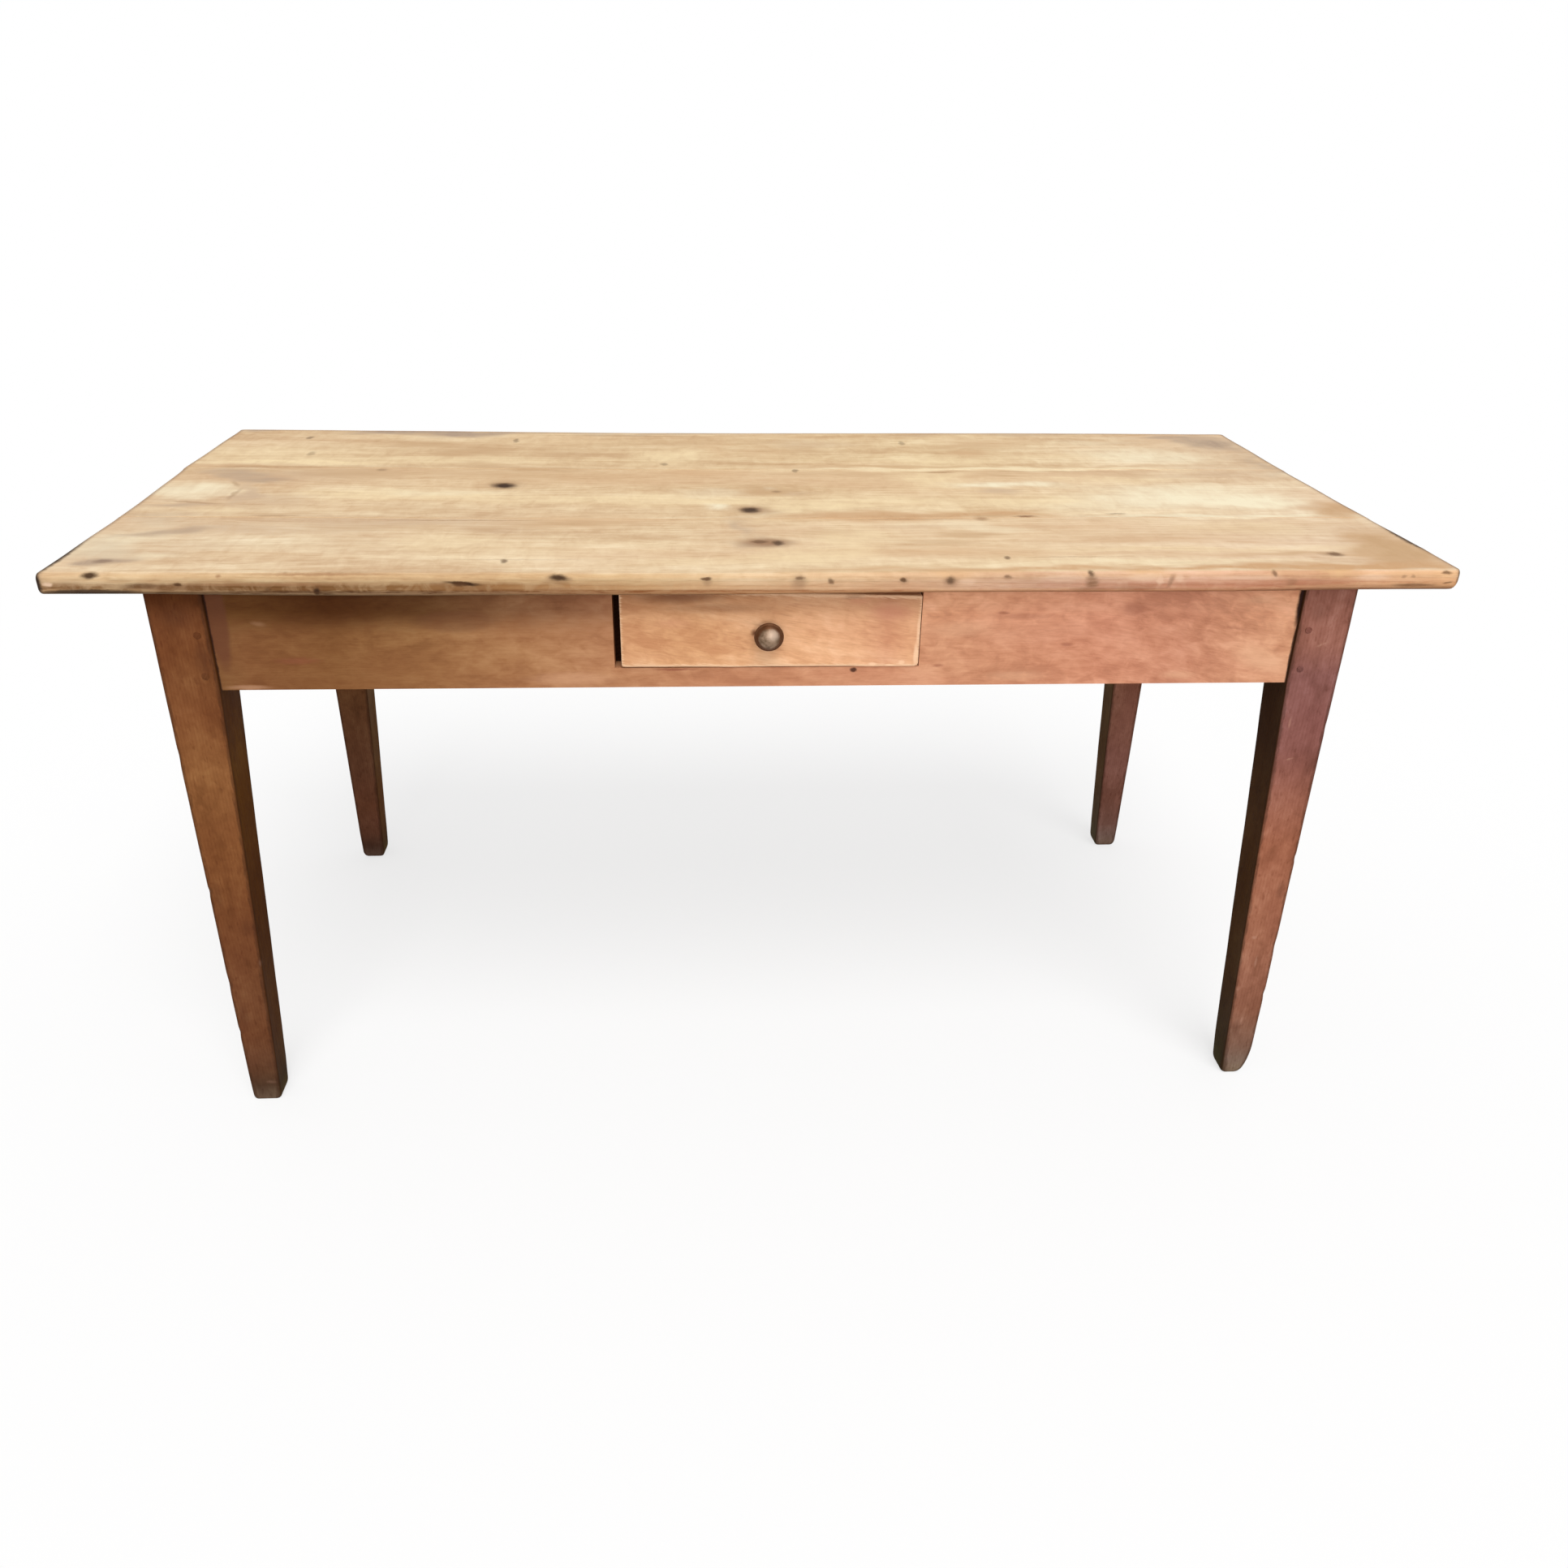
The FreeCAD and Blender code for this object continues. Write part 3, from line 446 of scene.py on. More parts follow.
# Square above the apron's lower edge, tapered below it on the two inner sides only:
# width = full - (full - foot) * share of the way down.
def makeLeg(corner, seed):
    name = "leg_" + corner
    low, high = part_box(name)
    sideX = 1 if high.x > 0 else -1
    sideY = 1 if high.y > 0 else -1
    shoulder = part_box("apron_front")[0].z
    footHeight, footSteps = leg["footZone"]
    z = barStations(low.z, high.z, footHeight, leg["topRound"], leg["stations"], footSteps)
    down = np.clip((shoulder - z) / shoulder, 0, 1)
    toes = [toeInset(z - low.z, *toe) for toe in leg["toes"][corner]]
    bounds = []
    for side, lowSide, highSide, outerToe, innerToe in (
        (sideX, low.x, high.x, *toes[:2]), (sideY, low.y, high.y, *toes[2:]),
    ):
        full = highSide - lowSide
        width = full - (full - leg["footWidth"]) * down
        outerSway = leg["sway"] * (0.5 + 0.5 * waver(z, seed + 1, (1.1, 2.3, 4.7, 9.1)))
        innerSway = leg["sway"] * (0.5 + 0.5 * waver(z, seed + 2, (0.9, 2.7, 5.9, 8.3))) * (down > 0)
        outermost = highSide if side > 0 else lowSide
        outer = outermost - side * (outerToe + outerSway)
        inner = outermost - side * (width - innerToe - innerSway)
        bounds += [np.minimum(outer, inner), np.maximum(outer, inner)]
        seed += 3
    topEase = endInset(high.z - z, leg["topRound"])
    radii = []
    for edge in range(4):
        worn = leg["arris"] + leg["arrisWear"] * waver(z, seed + edge, (1.7, 4.1, 9.7, 21.0))
        radii.append(worn + leg["footArris"] * np.clip(1 - z / leg["toeHeight"], 0, 1))
    x, y, nearness = roundedLoops(*bounds, radii, leg["steps"])
    middleX, middleY = (bounds[0] + bounds[1]) / 2, (bounds[2] + bounds[3]) / 2
    x = x - np.sign(x - middleX[:, None]) * topEase[:, None]
    y = y - np.sign(y - middleY[:, None]) * topEase[:, None]
    outerX = high.x if sideX > 0 else low.x
    outerY = high.y if sideY > 0 else low.y
    reach = np.exp(-((x - outerX) / leg["knockReach"]) ** 2 - ((y - outerY) / leg["knockReach"]) ** 2)
    shift = leg["knockShift"] * math.sin(seed)
    for height, half, depth in leg["knocks"]:
        hollow = depth * np.exp(-((z[:, None] - height - shift) / half) ** 2) * reach
        x = x - sideX * hollow
        y = y - sideY * hollow
    barPiece(
        "post_" + corner, z, x, y, nearness, "zxy",
        body="table_frame", slotName="frame_wood", replaced=[name],
    )


for index, corner in enumerate(("front_left", "front_right", "back_left", "back_right")):
    makeLeg(corner, 101 + 20 * index)
print("legs made")


# Drawer front

drawerFront = {
    "arris": 0.0019,
    "arrisWear": 0.0007,
    "cornerRound": (0.0030, 0.0045),  # lower corners, seen from the front, left and right
    "endSet": 0.00006,        # the dovetails' end grain stands this much proud
    "droop": 0.0081,          # top edge falls by this much towards the right
    "lowerRise": 0.0009,      # lower edge is this much higher at the left
    "endRound": 0.0015,
    "backArris": 0.0005,
    "uneven": (0.0002, 0.00015),  # of the upper and lower edges, and of the face
    "stations": 120,
    "steps": (10, 22),
}


# A bar along x, with round arrises at the front and its lower corners rounded. Both
# long edges fall towards the right in a straight line, the lower one by very little.
def makeDrawerFront():
    low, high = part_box("drawer_front")
    shape = drawerFront
    lowX, highX = low.x + shape["endSet"], high.x - shape["endSet"]
    endRound = shape["endRound"]
    edgeSway, faceSway = shape["uneven"]
    x = barStations(lowX, highX, endRound, endRound, shape["stations"])
    share = (x - lowX) / (highX - lowX)
    fromEnd = np.minimum(x - lowX, highX - x)
    inset = endInset(fromEnd, endRound)
    roundLeft, roundRight = shape["cornerRound"]
    lowerCorner = endInset(x - lowX, roundLeft) + endInset(highX - x, roundRight)
    upper = high.z - shape["droop"] * share - inset - edgeSway * (1 + waver(x * 2, 7))
    lower = low.z + shape["lowerRise"] * (1 - share) + lowerCorner + edgeSway * (1 + waver(x * 2, 8))
    front = low.y + inset * 0.9 + faceSway * (1 + waver(x * 3, 9))
    back = high.y - 0 * x
    frontRadius = shape["arris"] + shape["arrisWear"] * waver(x * 4, 10)
    backRadius = shape["backArris"] + 0 * x
    radii = [backRadius, frontRadius, frontRadius, backRadius]
    y, z, nearness = roundedLoops(front, back, lower, upper, radii, shape["steps"])
    nearness = np.maximum(nearness, np.clip(1 - fromEnd / arrisReach, 0, 1)[:, None])
    barPiece(
        "drawer_face", x, y, z, nearness, "xyz",
        body="drawer", slotName="drawer_face", replaced=["drawer_front"],
    )


makeDrawerFront()
print("drawer front made")


# Turned pieces

# A profile turned about an axis along x or y: each point is
# centre + radius * (cos, sin) across the axis, at its distance out along it.
# out is -1 or 1 and says which way the profile grows from its base. The wobble has
# whole waves, so that the round closes.
def turnedPoints(radii, distances, base, out, axis, around, wobble):
    turn = np.arange(around) * tau / around
    radius = radii[:, None] * (1 + wobble * waver(turn / tau, 41, (1, 2, 3, 5)))
    across = radius * np.cos(turn)
    upward = radius * np.sin(turn)
    along = np.repeat((out * distances)[:, None], around, 1)
    ends = [0, -1]
    alongAll = np.append(along, along[ends, 0])
    acrossAll = np.append(across, [0.0, 0.0])
    upwardAll = np.append(upward, [0.0, 0.0])
    columns = [acrossAll, alongAll] if axis == "y" else [alongAll, acrossAll]
    points = np.stack([*columns, upwardAll], axis=-1) + np.array(base)
    faces = tubeFaces(len(radii), around)
    if (axis == "y") == (out > 0):
        faces = faces[:, ::-1]
    return points, faces


knob = {
    "headRadius": 0.0175,
    "headWear": 0.0002,
    "rim": 0.0030,
    "dome": 0.0090,
    "neckRadius": 0.0065,
    "baseRadius": 0.0105,
    "baseDepth": 0.0030,
    "baseEase": 0.0011,
    "neckEnds": 0.3,          # share of the neck over which it narrows from the base
    "flare": (0.35, 2.4, 0.0012),     # share where it starts, power, and how far inside the head it ends
    "clear": 0.0001,          # kept free inside the CAD knob
    "around": 72,
    "wobble": 0.006,
    "knocks": [(0.6, 0.5), (2.4, 0.7), (4.0, 0.35), (5.3, 0.8)],  # angle, share of the radius
    "knockReach": 0.003,
    "dent": 0.00035,
}


# Base disc, hollow neck, flared head with a bead at its rim, and a ball dome. From
# the base out: a quarter-round disc, a neck that flares by a power of its way out,
# the rim's half circle, and the dome's arc of the ball through the rim and the crown.
def makeKnob():
    low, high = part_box("drawer_knob")
    shape = knob
    depth = high.y - low.y
    head = shape["headRadius"] - shape["headWear"]
    turn = np.linspace(0, math.pi / 2, 6)
    clear, easeBase = shape["clear"], shape["baseEase"]
    base = shape["baseRadius"] - clear
    baseRadii = np.concatenate([[base * 0.6, base], base - easeBase * (1 - np.cos(turn))])
    baseOut = np.concatenate([[0, 0], shape["baseDepth"] - easeBase * (1 - np.sin(turn))])
    crown = depth - clear
    rimTop = crown - shape["dome"]
    rimLow = rimTop - shape["rim"]
    share = np.linspace(0.06, 1, 16)
    neck = shape["neckRadius"]
    flareFrom, power, within = shape["flare"]
    flare = neck + (head - within - neck) * np.clip((share - flareFrom) / (1 - flareFrom), 0, 1) ** power
    waist = flare + (base - easeBase - neck) * (1 - np.clip(share / shape["neckEnds"], 0, 1)) ** 2
    neckOut = shape["baseDepth"] + (rimLow - shape["baseDepth"]) * share
    half = np.linspace(-math.pi / 2, math.pi / 2, 11)
    rimRadii = head - shape["rim"] / 2 * 0.8 * (1 - np.cos(half))
    rimOut = (rimLow + rimTop) / 2 + shape["rim"] / 2 * np.sin(half)
    foot = rimRadii[-1] - 0.0003
    ball = (foot ** 2 + shape["dome"] ** 2) / (2 * shape["dome"])
    rise = np.linspace(math.asin(foot / ball), 0.03, 22)
    domeRadii = ball * np.sin(rise)
    domeOut = crown - ball * (1 - np.cos(rise))
    radii = np.concatenate([baseRadii, waist, rimRadii, domeRadii])
    distances = np.concatenate([baseOut, neckOut, rimOut, domeOut])
    centre = ((low.x + high.x) / 2, high.y, (low.z + high.z) / 2)
    points, faces = turnedPoints(radii, distances, centre, -1, "y", shape["around"], shape["wobble"])
    points[-1, 1] = low.y + clear
    # a few shallow knocks in the dome
    for angle, far in shape["knocks"]:
        spot = np.array([centre[0] + head * far * math.cos(angle), centre[2] + head * far * math.sin(angle)])
        gap = np.hypot(points[:, 0] - spot[0], points[:, 2] - spot[1])
        onDome = points[:, 1] < centre[1] - rimTop
        points[:, 1] += shape["dent"] * np.exp(-(gap / shape["knockReach"]) ** 2) * onDome
    # here the attribute says how far out a point lies
    farOut = np.append(np.repeat(distances, shape["around"]), [0, crown])
    makePiece(
        "pull", points, faces, "drawer", "aged_brass", ["drawer_knob"],
        attributes={"arris": np.clip(farOut / depth, 0, 1)},
    )


makeKnob()

peg = {
    "radius": 0.00422,
    "tip": (0.9, 0.001),      # blunt inner end: share of the radius, length
    "dome": 0.0005,
    "domeTurn": 1.4,          # angle that the domed head turns through, in radians
    "around": 28,
    "wobble": 0.035,
}


# The four pegs of one apron: round pins with a low domed head, whittled a little
# out of round. Heads stand on the legs' faces, on the side that out points to.
def makePegs(side, axis, out):
    name = "pegs_apron_" + side
    low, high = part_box(name)
    solids = np.array([tuple(vertex.co) for vertex in nodes[name].data.vertices])
    alongAxis = 0 if axis == "x" else 1
    acrossAxis = 1 - alongAxis
    head = (high if out > 0 else low)[alongAxis]
    depth = high[alongAxis] - low[alongAxis]
    radius = peg["radius"]
    tipShare, tipLength = peg["tip"]
    allPoints, allFaces = [], []
    for sideways in (-1, 1):
        for upward in (-1, 1):
            near = solids[np.sign(solids[:, acrossAxis]) == sideways]
            middle = (near[:, 2].min() + near[:, 2].max()) / 2
            near = near[np.sign(near[:, 2] - middle) == upward]
            spot = (near.min(0) + near.max(0)) / 2
            base = [0.0, 0.0, spot[2]]
            base[acrossAxis] = spot[acrossAxis]
            base[alongAxis] = head - out * depth
            curve = np.linspace(0, 1, 7) * peg["domeTurn"]
            radii = np.concatenate([[radius * tipShare, radius], radius * np.cos(curve)])
            distances = np.concatenate([[0, tipLength], depth - peg["dome"] * (1 - np.sin(curve))])
            points, faces = turnedPoints(radii, distances, base, out, axis, peg["around"], peg["wobble"])
            allFaces.append(faces + sum(len(each) for each in allPoints))
            allPoints.append(points)
    points = np.concatenate(allPoints)
    makePiece(
        "pins_" + side, points, np.concatenate(allFaces), "table_frame", "peg_wood", [name],
        attributes={"arris": np.zeros(len(points))},
    )


for side, axis, out in (("front", "y", -1), ("back", "y", 1), ("left", "x", -1), ("right", "x", 1)):
    makePegs(side, axis, out)
print("knob and pegs made")


# Plain helpers for node materials

def newMaterial(name):
    material = bpy.data.materials.new(name)
    material.use_nodes = True
    material.node_tree.nodes.clear()
    return material, material.node_tree


def feed(tree, socket, value):
    if isinstance(value, bpy.types.NodeSocket):
        tree.links.new(value, socket)
    elif hasattr(value, "__len__") and len(value) == 3 and len(socket.default_value) == 4:
        socket.default_value = (*value, 1)
    else:
        socket.default_value = value


def add(tree, kind, inputs=None, **settings):
    made = tree.nodes.new(kind)
    for key, value in settings.items():
        setattr(made, key, value)
    for key, value in (inputs or {}).items():
        feed(tree, made.inputs[key], value)
    return made


def calc(tree, operation, a, b=0.0, c=0.0, clamp=False):
    made = add(tree, "ShaderNodeMath", {0: a, 1: b, 2: c}, operation=operation, use_clamp=clamp)
    return made.outputs[0]


def calcVector(tree, operation, a, b=(0, 0, 0), c=(0, 0, 0)):
    made = add(tree, "ShaderNodeVectorMath", {0: a, 1: b, 2: c}, operation=operation)
    return made.outputs["Value" if operation == "LENGTH" else "Vector"]


def spread(tree, value, fromLow, fromHigh, toLow=0.0, toHigh=1.0):
    made = add(tree, "ShaderNodeMapRange", {
        "Value": value, "From Min": fromLow, "From Max": fromHigh, "To Min": toLow, "To Max": toHigh,
    }, interpolation_type="SMOOTHSTEP")
    return made.outputs[0]


def blend(tree, share, a, b, way="MIX"):
    made = add(tree, "ShaderNodeMix", {0: share, 6: a, 7: b}, data_type="RGBA", blend_type=way)
    return made.outputs[2]


def noise(tree, place, stretch, detail=3.0, rough=0.55, twist=0.0, output="Fac"):
    made = add(tree, "ShaderNodeTexNoise", {
        "Vector": calcVector(tree, "MULTIPLY", place, stretch),
        "Scale": 1.0, "Detail": detail, "Roughness": rough, "Distortion": twist,
    })
    return made.outputs[output]


# Colour ramp through stops of {place: colour}.
def ramp(tree, value, stops):
    made = add(tree, "ShaderNodeValToRGB", {0: value})
    stopList = made.color_ramp.elements
    while len(stopList) < len(stops):
        stopList.new(0.5)
    for element, (place, colour) in zip(stopList, stops.items()):
        element.position = place
        element.color = (*colour, 1)
    return made.outputs[0]


# A colour as a screen shows it, 0 to 255, turned to linear light.
def tone(red, green, blue):
    shown = np.array([red, green, blue]) / 255
    linear = np.where(shown <= 0.04045, shown / 12.92, ((shown + 0.055) / 1.055) ** 2.4)
    return tuple(float(value) for value in linear)


# Largest of a list of soft spots, each (x, y, z, half-sizes, tilt, strength): full in
# the core, a share of the half-sizes, and fading to 0 at the half-sizes. A spot's own
# place is (turned place - turned centre) / half-sizes; one turned place serves all
# spots of a tilt.
def spots(tree, place, marks, core):
    total = None
    turned = {(0.0, 0.0, 0.0): place}
    for x, y, z, sizes, tilt, strength in marks:
        if tilt not in turned:
            turned[tilt] = add(tree, "ShaderNodeVectorRotate", {
                "Vector": place, "Rotation": tilt,
            }, rotation_type="EULER_XYZ", invert=True).outputs[0]
        centre = Euler(tilt).to_matrix().inverted() @ Vector((x, y, z))
        scale = [1 / size for size in sizes]
        offset = [-value / size for value, size in zip(centre, sizes)]
        local = calcVector(tree, "MULTIPLY_ADD", turned[tilt], scale, offset)
        shade = spread(tree, calcVector(tree, "LENGTH", local), 1.0, core, 0.0, strength)
        total = shade if total is None else calc(tree, "MAXIMUM", total, shade)
    return total


# Wood

# Builds one wood from a dictionary:
#   grain      which of x, y and z runs along, across and through
#   joints     places across where one board ends and the next begins
#   shift      moves the pattern of each board, leg or apron apart from the others
#   lean       (start, end, amount): the grain sinks across by the amount on its way along
#   pith       where the heart of the tree lies, across and through, and its slope
#   ring       distance between year rings
#   knots      (along, across, reach along, reach across, pull) that the grain flows round
#   washes     colour laid on where the face looks a given way (facing, or inward for a
#              face that looks towards the middle of the table) and lies in a band, each
#              (axis, nothing here, full here); it is one colour, or runs along an axis
#              through stops of {place: colour}. share weakens it, mottled breaks it up
#              by the mottling, and rag says how far that shifts the band's bounds
#   fields     colours of the patches that the mesh carries as attributes
#   stains     groups of small marks of one colour; core is the share of a mark that is
#              full, grit how far the fibres break it up, pit how deep it lies
def woodMaterial(name, wood):
    material, tree = newMaterial(name)
    coordinates = add(tree, "ShaderNodeTexCoord")
    place, facing = coordinates.outputs["Object"], coordinates.outputs["Normal"]
    arris = add(tree, "ShaderNodeAttribute", attribute_name="arris").outputs["Fac"]
    parts = add(tree, "ShaderNodeSeparateXYZ", {0: place})
    axis = dict(zip("xyz", parts.outputs))
    along, across, through = (axis[letter] for letter in wood["grain"])

    # moves the pattern of one board, leg or apron away from that of the next
    apart = 0.0
    for joint in wood.get("joints", ()):
        apart = calc(tree, "ADD", apart, calc(tree, "GREATER_THAN", across, joint))
    for letter, weight in wood.get("shift", {}).items():
        apart = calc(tree, "MULTIPLY_ADD", calc(tree, "SIGN", axis[letter]), weight, apart)

    # grain leans, and bends round the knots
    flow = across
    if "lean" in wood:
        start, end, amount = wood["lean"]
        flow = calc(tree, "ADD", flow, spread(tree, along, start, end, 0.0, amount))
    for knotAlong, knotAcross, reachAlong, reachAcross, pull in wood.get("knots", ()):
        first = calc(tree, "MULTIPLY_ADD", along, 1 / reachAlong, -knotAlong / reachAlong)
        second = calc(tree, "MULTIPLY_ADD", across, 1 / reachAcross, -knotAcross / reachAcross)
        apartSquared = calc(tree, "MULTIPLY_ADD", first, first, calc(tree, "MULTIPLY", second, second))
        fade = calc(tree, "EXPONENT", calc(tree, "MULTIPLY", apartSquared, -1.0))
        flow = calc(tree, "MULTIPLY_ADD", calc(tree, "MULTIPLY", second, fade), -pull * reachAcross, flow)
    grainPlace = add(tree, "ShaderNodeCombineXYZ", {
        0: calc(tree, "MULTIPLY_ADD", apart, 3.71, along),
        1: calc(tree, "MULTIPLY_ADD", apart, 1.37, flow),
        2: calc(tree, "MULTIPLY_ADD", apart, 0.83, through),
    }).outputs[0]

    # year rings: distance from a leaning, wandering heart line, in ring widths
    drift = calc(tree, "SUBTRACT", noise(tree, grainPlace, wood["driftStretch"], 2.0), 0.5)
    pithAcross, pithThrough, slope = wood["pith"]
    ringAcross = calc(tree, "MULTIPLY_ADD", drift, wood["drift"], flow)
    heart = calc(tree, "MULTIPLY_ADD", apart, wood["pithStep"], -pithAcross)
    ringAcross = calc(tree, "ADD", ringAcross, heart)
    ringThrough = calc(tree, "MULTIPLY_ADD", along, slope, calc(tree, "SUBTRACT", through, pithThrough))
    ringPlace = add(tree, "ShaderNodeCombineXYZ", {0: ringAcross, 1: ringThrough, 2: 0.0}).outputs[0]
    ringCount = calc(tree, "DIVIDE", calcVector(tree, "LENGTH", ringPlace), wood["ring"])
    inRing = calc(tree, "FRACT", ringCount)
    late = calc(tree, "MULTIPLY", spread(tree, inRing, 0.35, 0.88), spread(tree, inRing, 1.0, 0.93))

    # colour: streaks, broad patches, mottling, rings, fibres and short dark flecks
    streaks = noise(tree, grainPlace, wood["streaks"], 4.0, 0.62, wood.get("twist", 0.4))
    figure = noise(tree, grainPlace, wood["figure"], 3.0, 0.6, wood.get("figureTwist", 0.8))
    patches = noise(tree, grainPlace, wood["patches"], 2.0)
    mottle = noise(tree, grainPlace, wood["mottle"], 3.0, 0.6, 0.6)
    fibres = noise(tree, grainPlace, wood["fibres"], 3.0, 0.7)
    flecks = noise(tree, grainPlace, wood["flecks"], 2.0, 0.6)
    mixed = calc(tree, "MULTIPLY_ADD", calc(tree, "SUBTRACT", figure, 0.5), wood["figureShare"], streaks)
    mixed = calc(tree, "MULTIPLY_ADD", calc(tree, "SUBTRACT", mottle, 0.5), wood["mottleShare"], mixed)
    colour = ramp(tree, mixed, wood["tones"])
    rosy = calc(tree, "MULTIPLY", spread(tree, patches, 0.44, 0.68), wood["rosyShare"])
    colour = blend(tree, rosy, colour, wood["rosy"])
    ringFade = calc(tree, "MULTIPLY", spread(tree, figure, 0.25, 0.65, 0.25, 1.0), wood["ringShare"])
    colour = blend(tree, calc(tree, "MULTIPLY", late, ringFade), colour, wood["late"], "MULTIPLY")
    fibreShade = spread(tree, fibres, 0.30, 0.60, wood["fibreShare"], 0.0)
    colour = blend(tree, fibreShade, colour, wood["fibreTone"], "MULTIPLY")
    fleckShade = spread(tree, flecks, 0.58, 0.72, 0.0, wood["fleckShare"])
    colour = blend(tree, fleckShade, colour, wood["fleckTone"], "MULTIPLY")

    # washes, their bounds made ragged by the mottling
    ragged = calc(tree, "SUBTRACT", mottle, 0.5)
    normal = dict(zip("xyz", add(tree, "ShaderNodeSeparateXYZ", {0: facing}).outputs))
    for wash in wood.get("washes", ()):
        share = wash.get("share", 1.0)
        for letter, start, end in wash.get("facing", ()):
            share = calc(tree, "MULTIPLY", share, spread(tree, normal[letter], start, end))
        for letter, start, end in wash.get("inward", ()):
            outward = calc(tree, "MULTIPLY", normal[letter], calc(tree, "SIGN", axis[letter]))
            share = calc(tree, "MULTIPLY", share, spread(tree, outward, -start, -end))
        if wash.get("mottled"):
            share = calc(tree, "MULTIPLY", share, spread(tree, mottle, 0.30, 0.70, 0.58, 1.20), clamp=True)
        for letter, start, end in wash.get("band", ()):
            shifted = calc(tree, "MULTIPLY_ADD", ragged, wash.get("rag", 0.3) * (end - start), axis[letter])
            share = calc(tree, "MULTIPLY", share, spread(tree, shifted, start, end))
        if "run" in wash:
            letter, start, end = wash["run"]
            run = add(tree, "ShaderNodeMapRange", {"Value": axis[letter], "From Min": start, "From Max": end})
            shares = {(stop - start) / (end - start): shade for stop, shade in wash["stops"].items()}
            laid = ramp(tree, run.outputs[0], shares)
        else:
            laid = wash["colour"]
        colour = blend(tree, share, colour, laid, "MULTIPLY")

    # patches of tone that the mesh carries
    speckled = spread(tree, mottle, 0.25, 0.75, 0.75, 1.15)
    for key, laid in wood.get("fields", {}).items():
        field = add(tree, "ShaderNodeAttribute", attribute_name=key).outputs["Fac"]
        colour = blend(tree, calc(tree, "MULTIPLY", field, speckled, clamp=True), colour, laid)

    # end grain
    endward = calc(tree, "ABSOLUTE", normal[wood["grain"][0]])
    endShare = spread(tree, endward, 0.55, 0.85, 0.0, wood["endShare"])
    colour = blend(tree, endShare, colour, wood["endTone"], "MULTIPLY")
    endRings = calc(tree, "MULTIPLY", endShare, calc(tree, "MULTIPLY", late, 0.6))
    colour = blend(tree, endRings, colour, wood["late"], "MULTIPLY")

    # worn arrises
    wearAndHighlight = calc(tree, "MULTIPLY_ADD", calc(tree, "SUBTRACT", fibres, 0.5), 0.9, arris)
    worn = spread(tree, wearAndHighlight, 0.72, 1.02, 0.0, wood["arrisShare"])
    colour = blend(tree, worn, colour, wood["arrisTone"])

    # small marks, on a place shaken by noise so that their outlines are ragged
    shake = noise(tree, place, wood.get("shakeStretch", (60, 60, 60)), 3.0, 0.6, 0.0, "Color")
    centred = calcVector(tree, "SUBTRACT", shake, (0.5, 0.5, 0.5))
    ragPlace = calcVector(tree, "ADD", place, calcVector(tree, "MULTIPLY", centred, wood["shake"]))
    pits = 0.0
    for stain in wood.get("stains", ()):
        mask = spots(tree, ragPlace, stain["marks"], stain["core"])
        grit = spread(tree, fibres, 0.35, 0.6, 1.0 - stain.get("grit", 0.0), 1.0)
        colour = blend(tree, calc(tree, "MULTIPLY", mask, grit), colour, stain["colour"])
        if stain.get("pit"):
            pits = calc(tree, "MULTIPLY_ADD", mask, stain["pit"], pits)

    # wax, and relief of fibres, rings, hollows and pits
    gloss = spread(tree, patches, 0.3, 0.7, wood["rough"][0], wood["rough"][1])
    gloss = calc(tree, "MULTIPLY_ADD", fibres, 0.12, calc(tree, "MULTIPLY_ADD", endShare, 0.15, gloss))
    dents = noise(tree, place, (14, 14, 14), 2.0)
    height = calc(tree, "MULTIPLY_ADD", fibres, 0.35, calc(tree, "MULTIPLY", late, -0.18))
    height = calc(tree, "MULTIPLY_ADD", dents, 2.2, height)
    height = calc(tree, "SUBTRACT", height, calc(tree, "MULTIPLY", fleckShade, 0.5))
    height = calc(tree, "SUBTRACT", height, pits)
    bump = add(tree, "ShaderNodeBump", {"Strength": wood["bump"], "Distance": 0.0012, "Height": height})
    shader = add(tree, "ShaderNodeBsdfPrincipled", {
        "Base Color": colour, "Roughness": gloss, "Normal": bump.outputs[0],
        "Specular IOR Level": wood["shine"], "IOR": 1.5,
    })
    add(tree, "ShaderNodeOutputMaterial", {"Surface": shader.outputs[0]})
    return material


# A mark on the top's face: place along x and y, half-sizes, strength and tilt.
def onTop(x, y, halfX, halfY, strength, tilt=0.0):
    return (x, y, 0.760, (halfX, halfY, 0.040), (0.0, 0.0, math.radians(tilt)), strength)


# A mark on a face that looks forward, at the depth y: place along x and height.
def onFront(y, x, z, halfX, halfZ, strength, tilt=0.0):
    return (x, y, z, (halfX, 0.012, halfZ), (0.0, math.radians(-tilt), 0.0), strength)


def onEdge(*mark):
    return onFront(-0.372, *mark)


def onApron(*mark):
    return onFront(-0.3435, *mark)


def onLeg(*mark):
    return onFront(-0.3475, *mark)


def onDrawer(*mark):
    return onFront(-0.346, *mark)


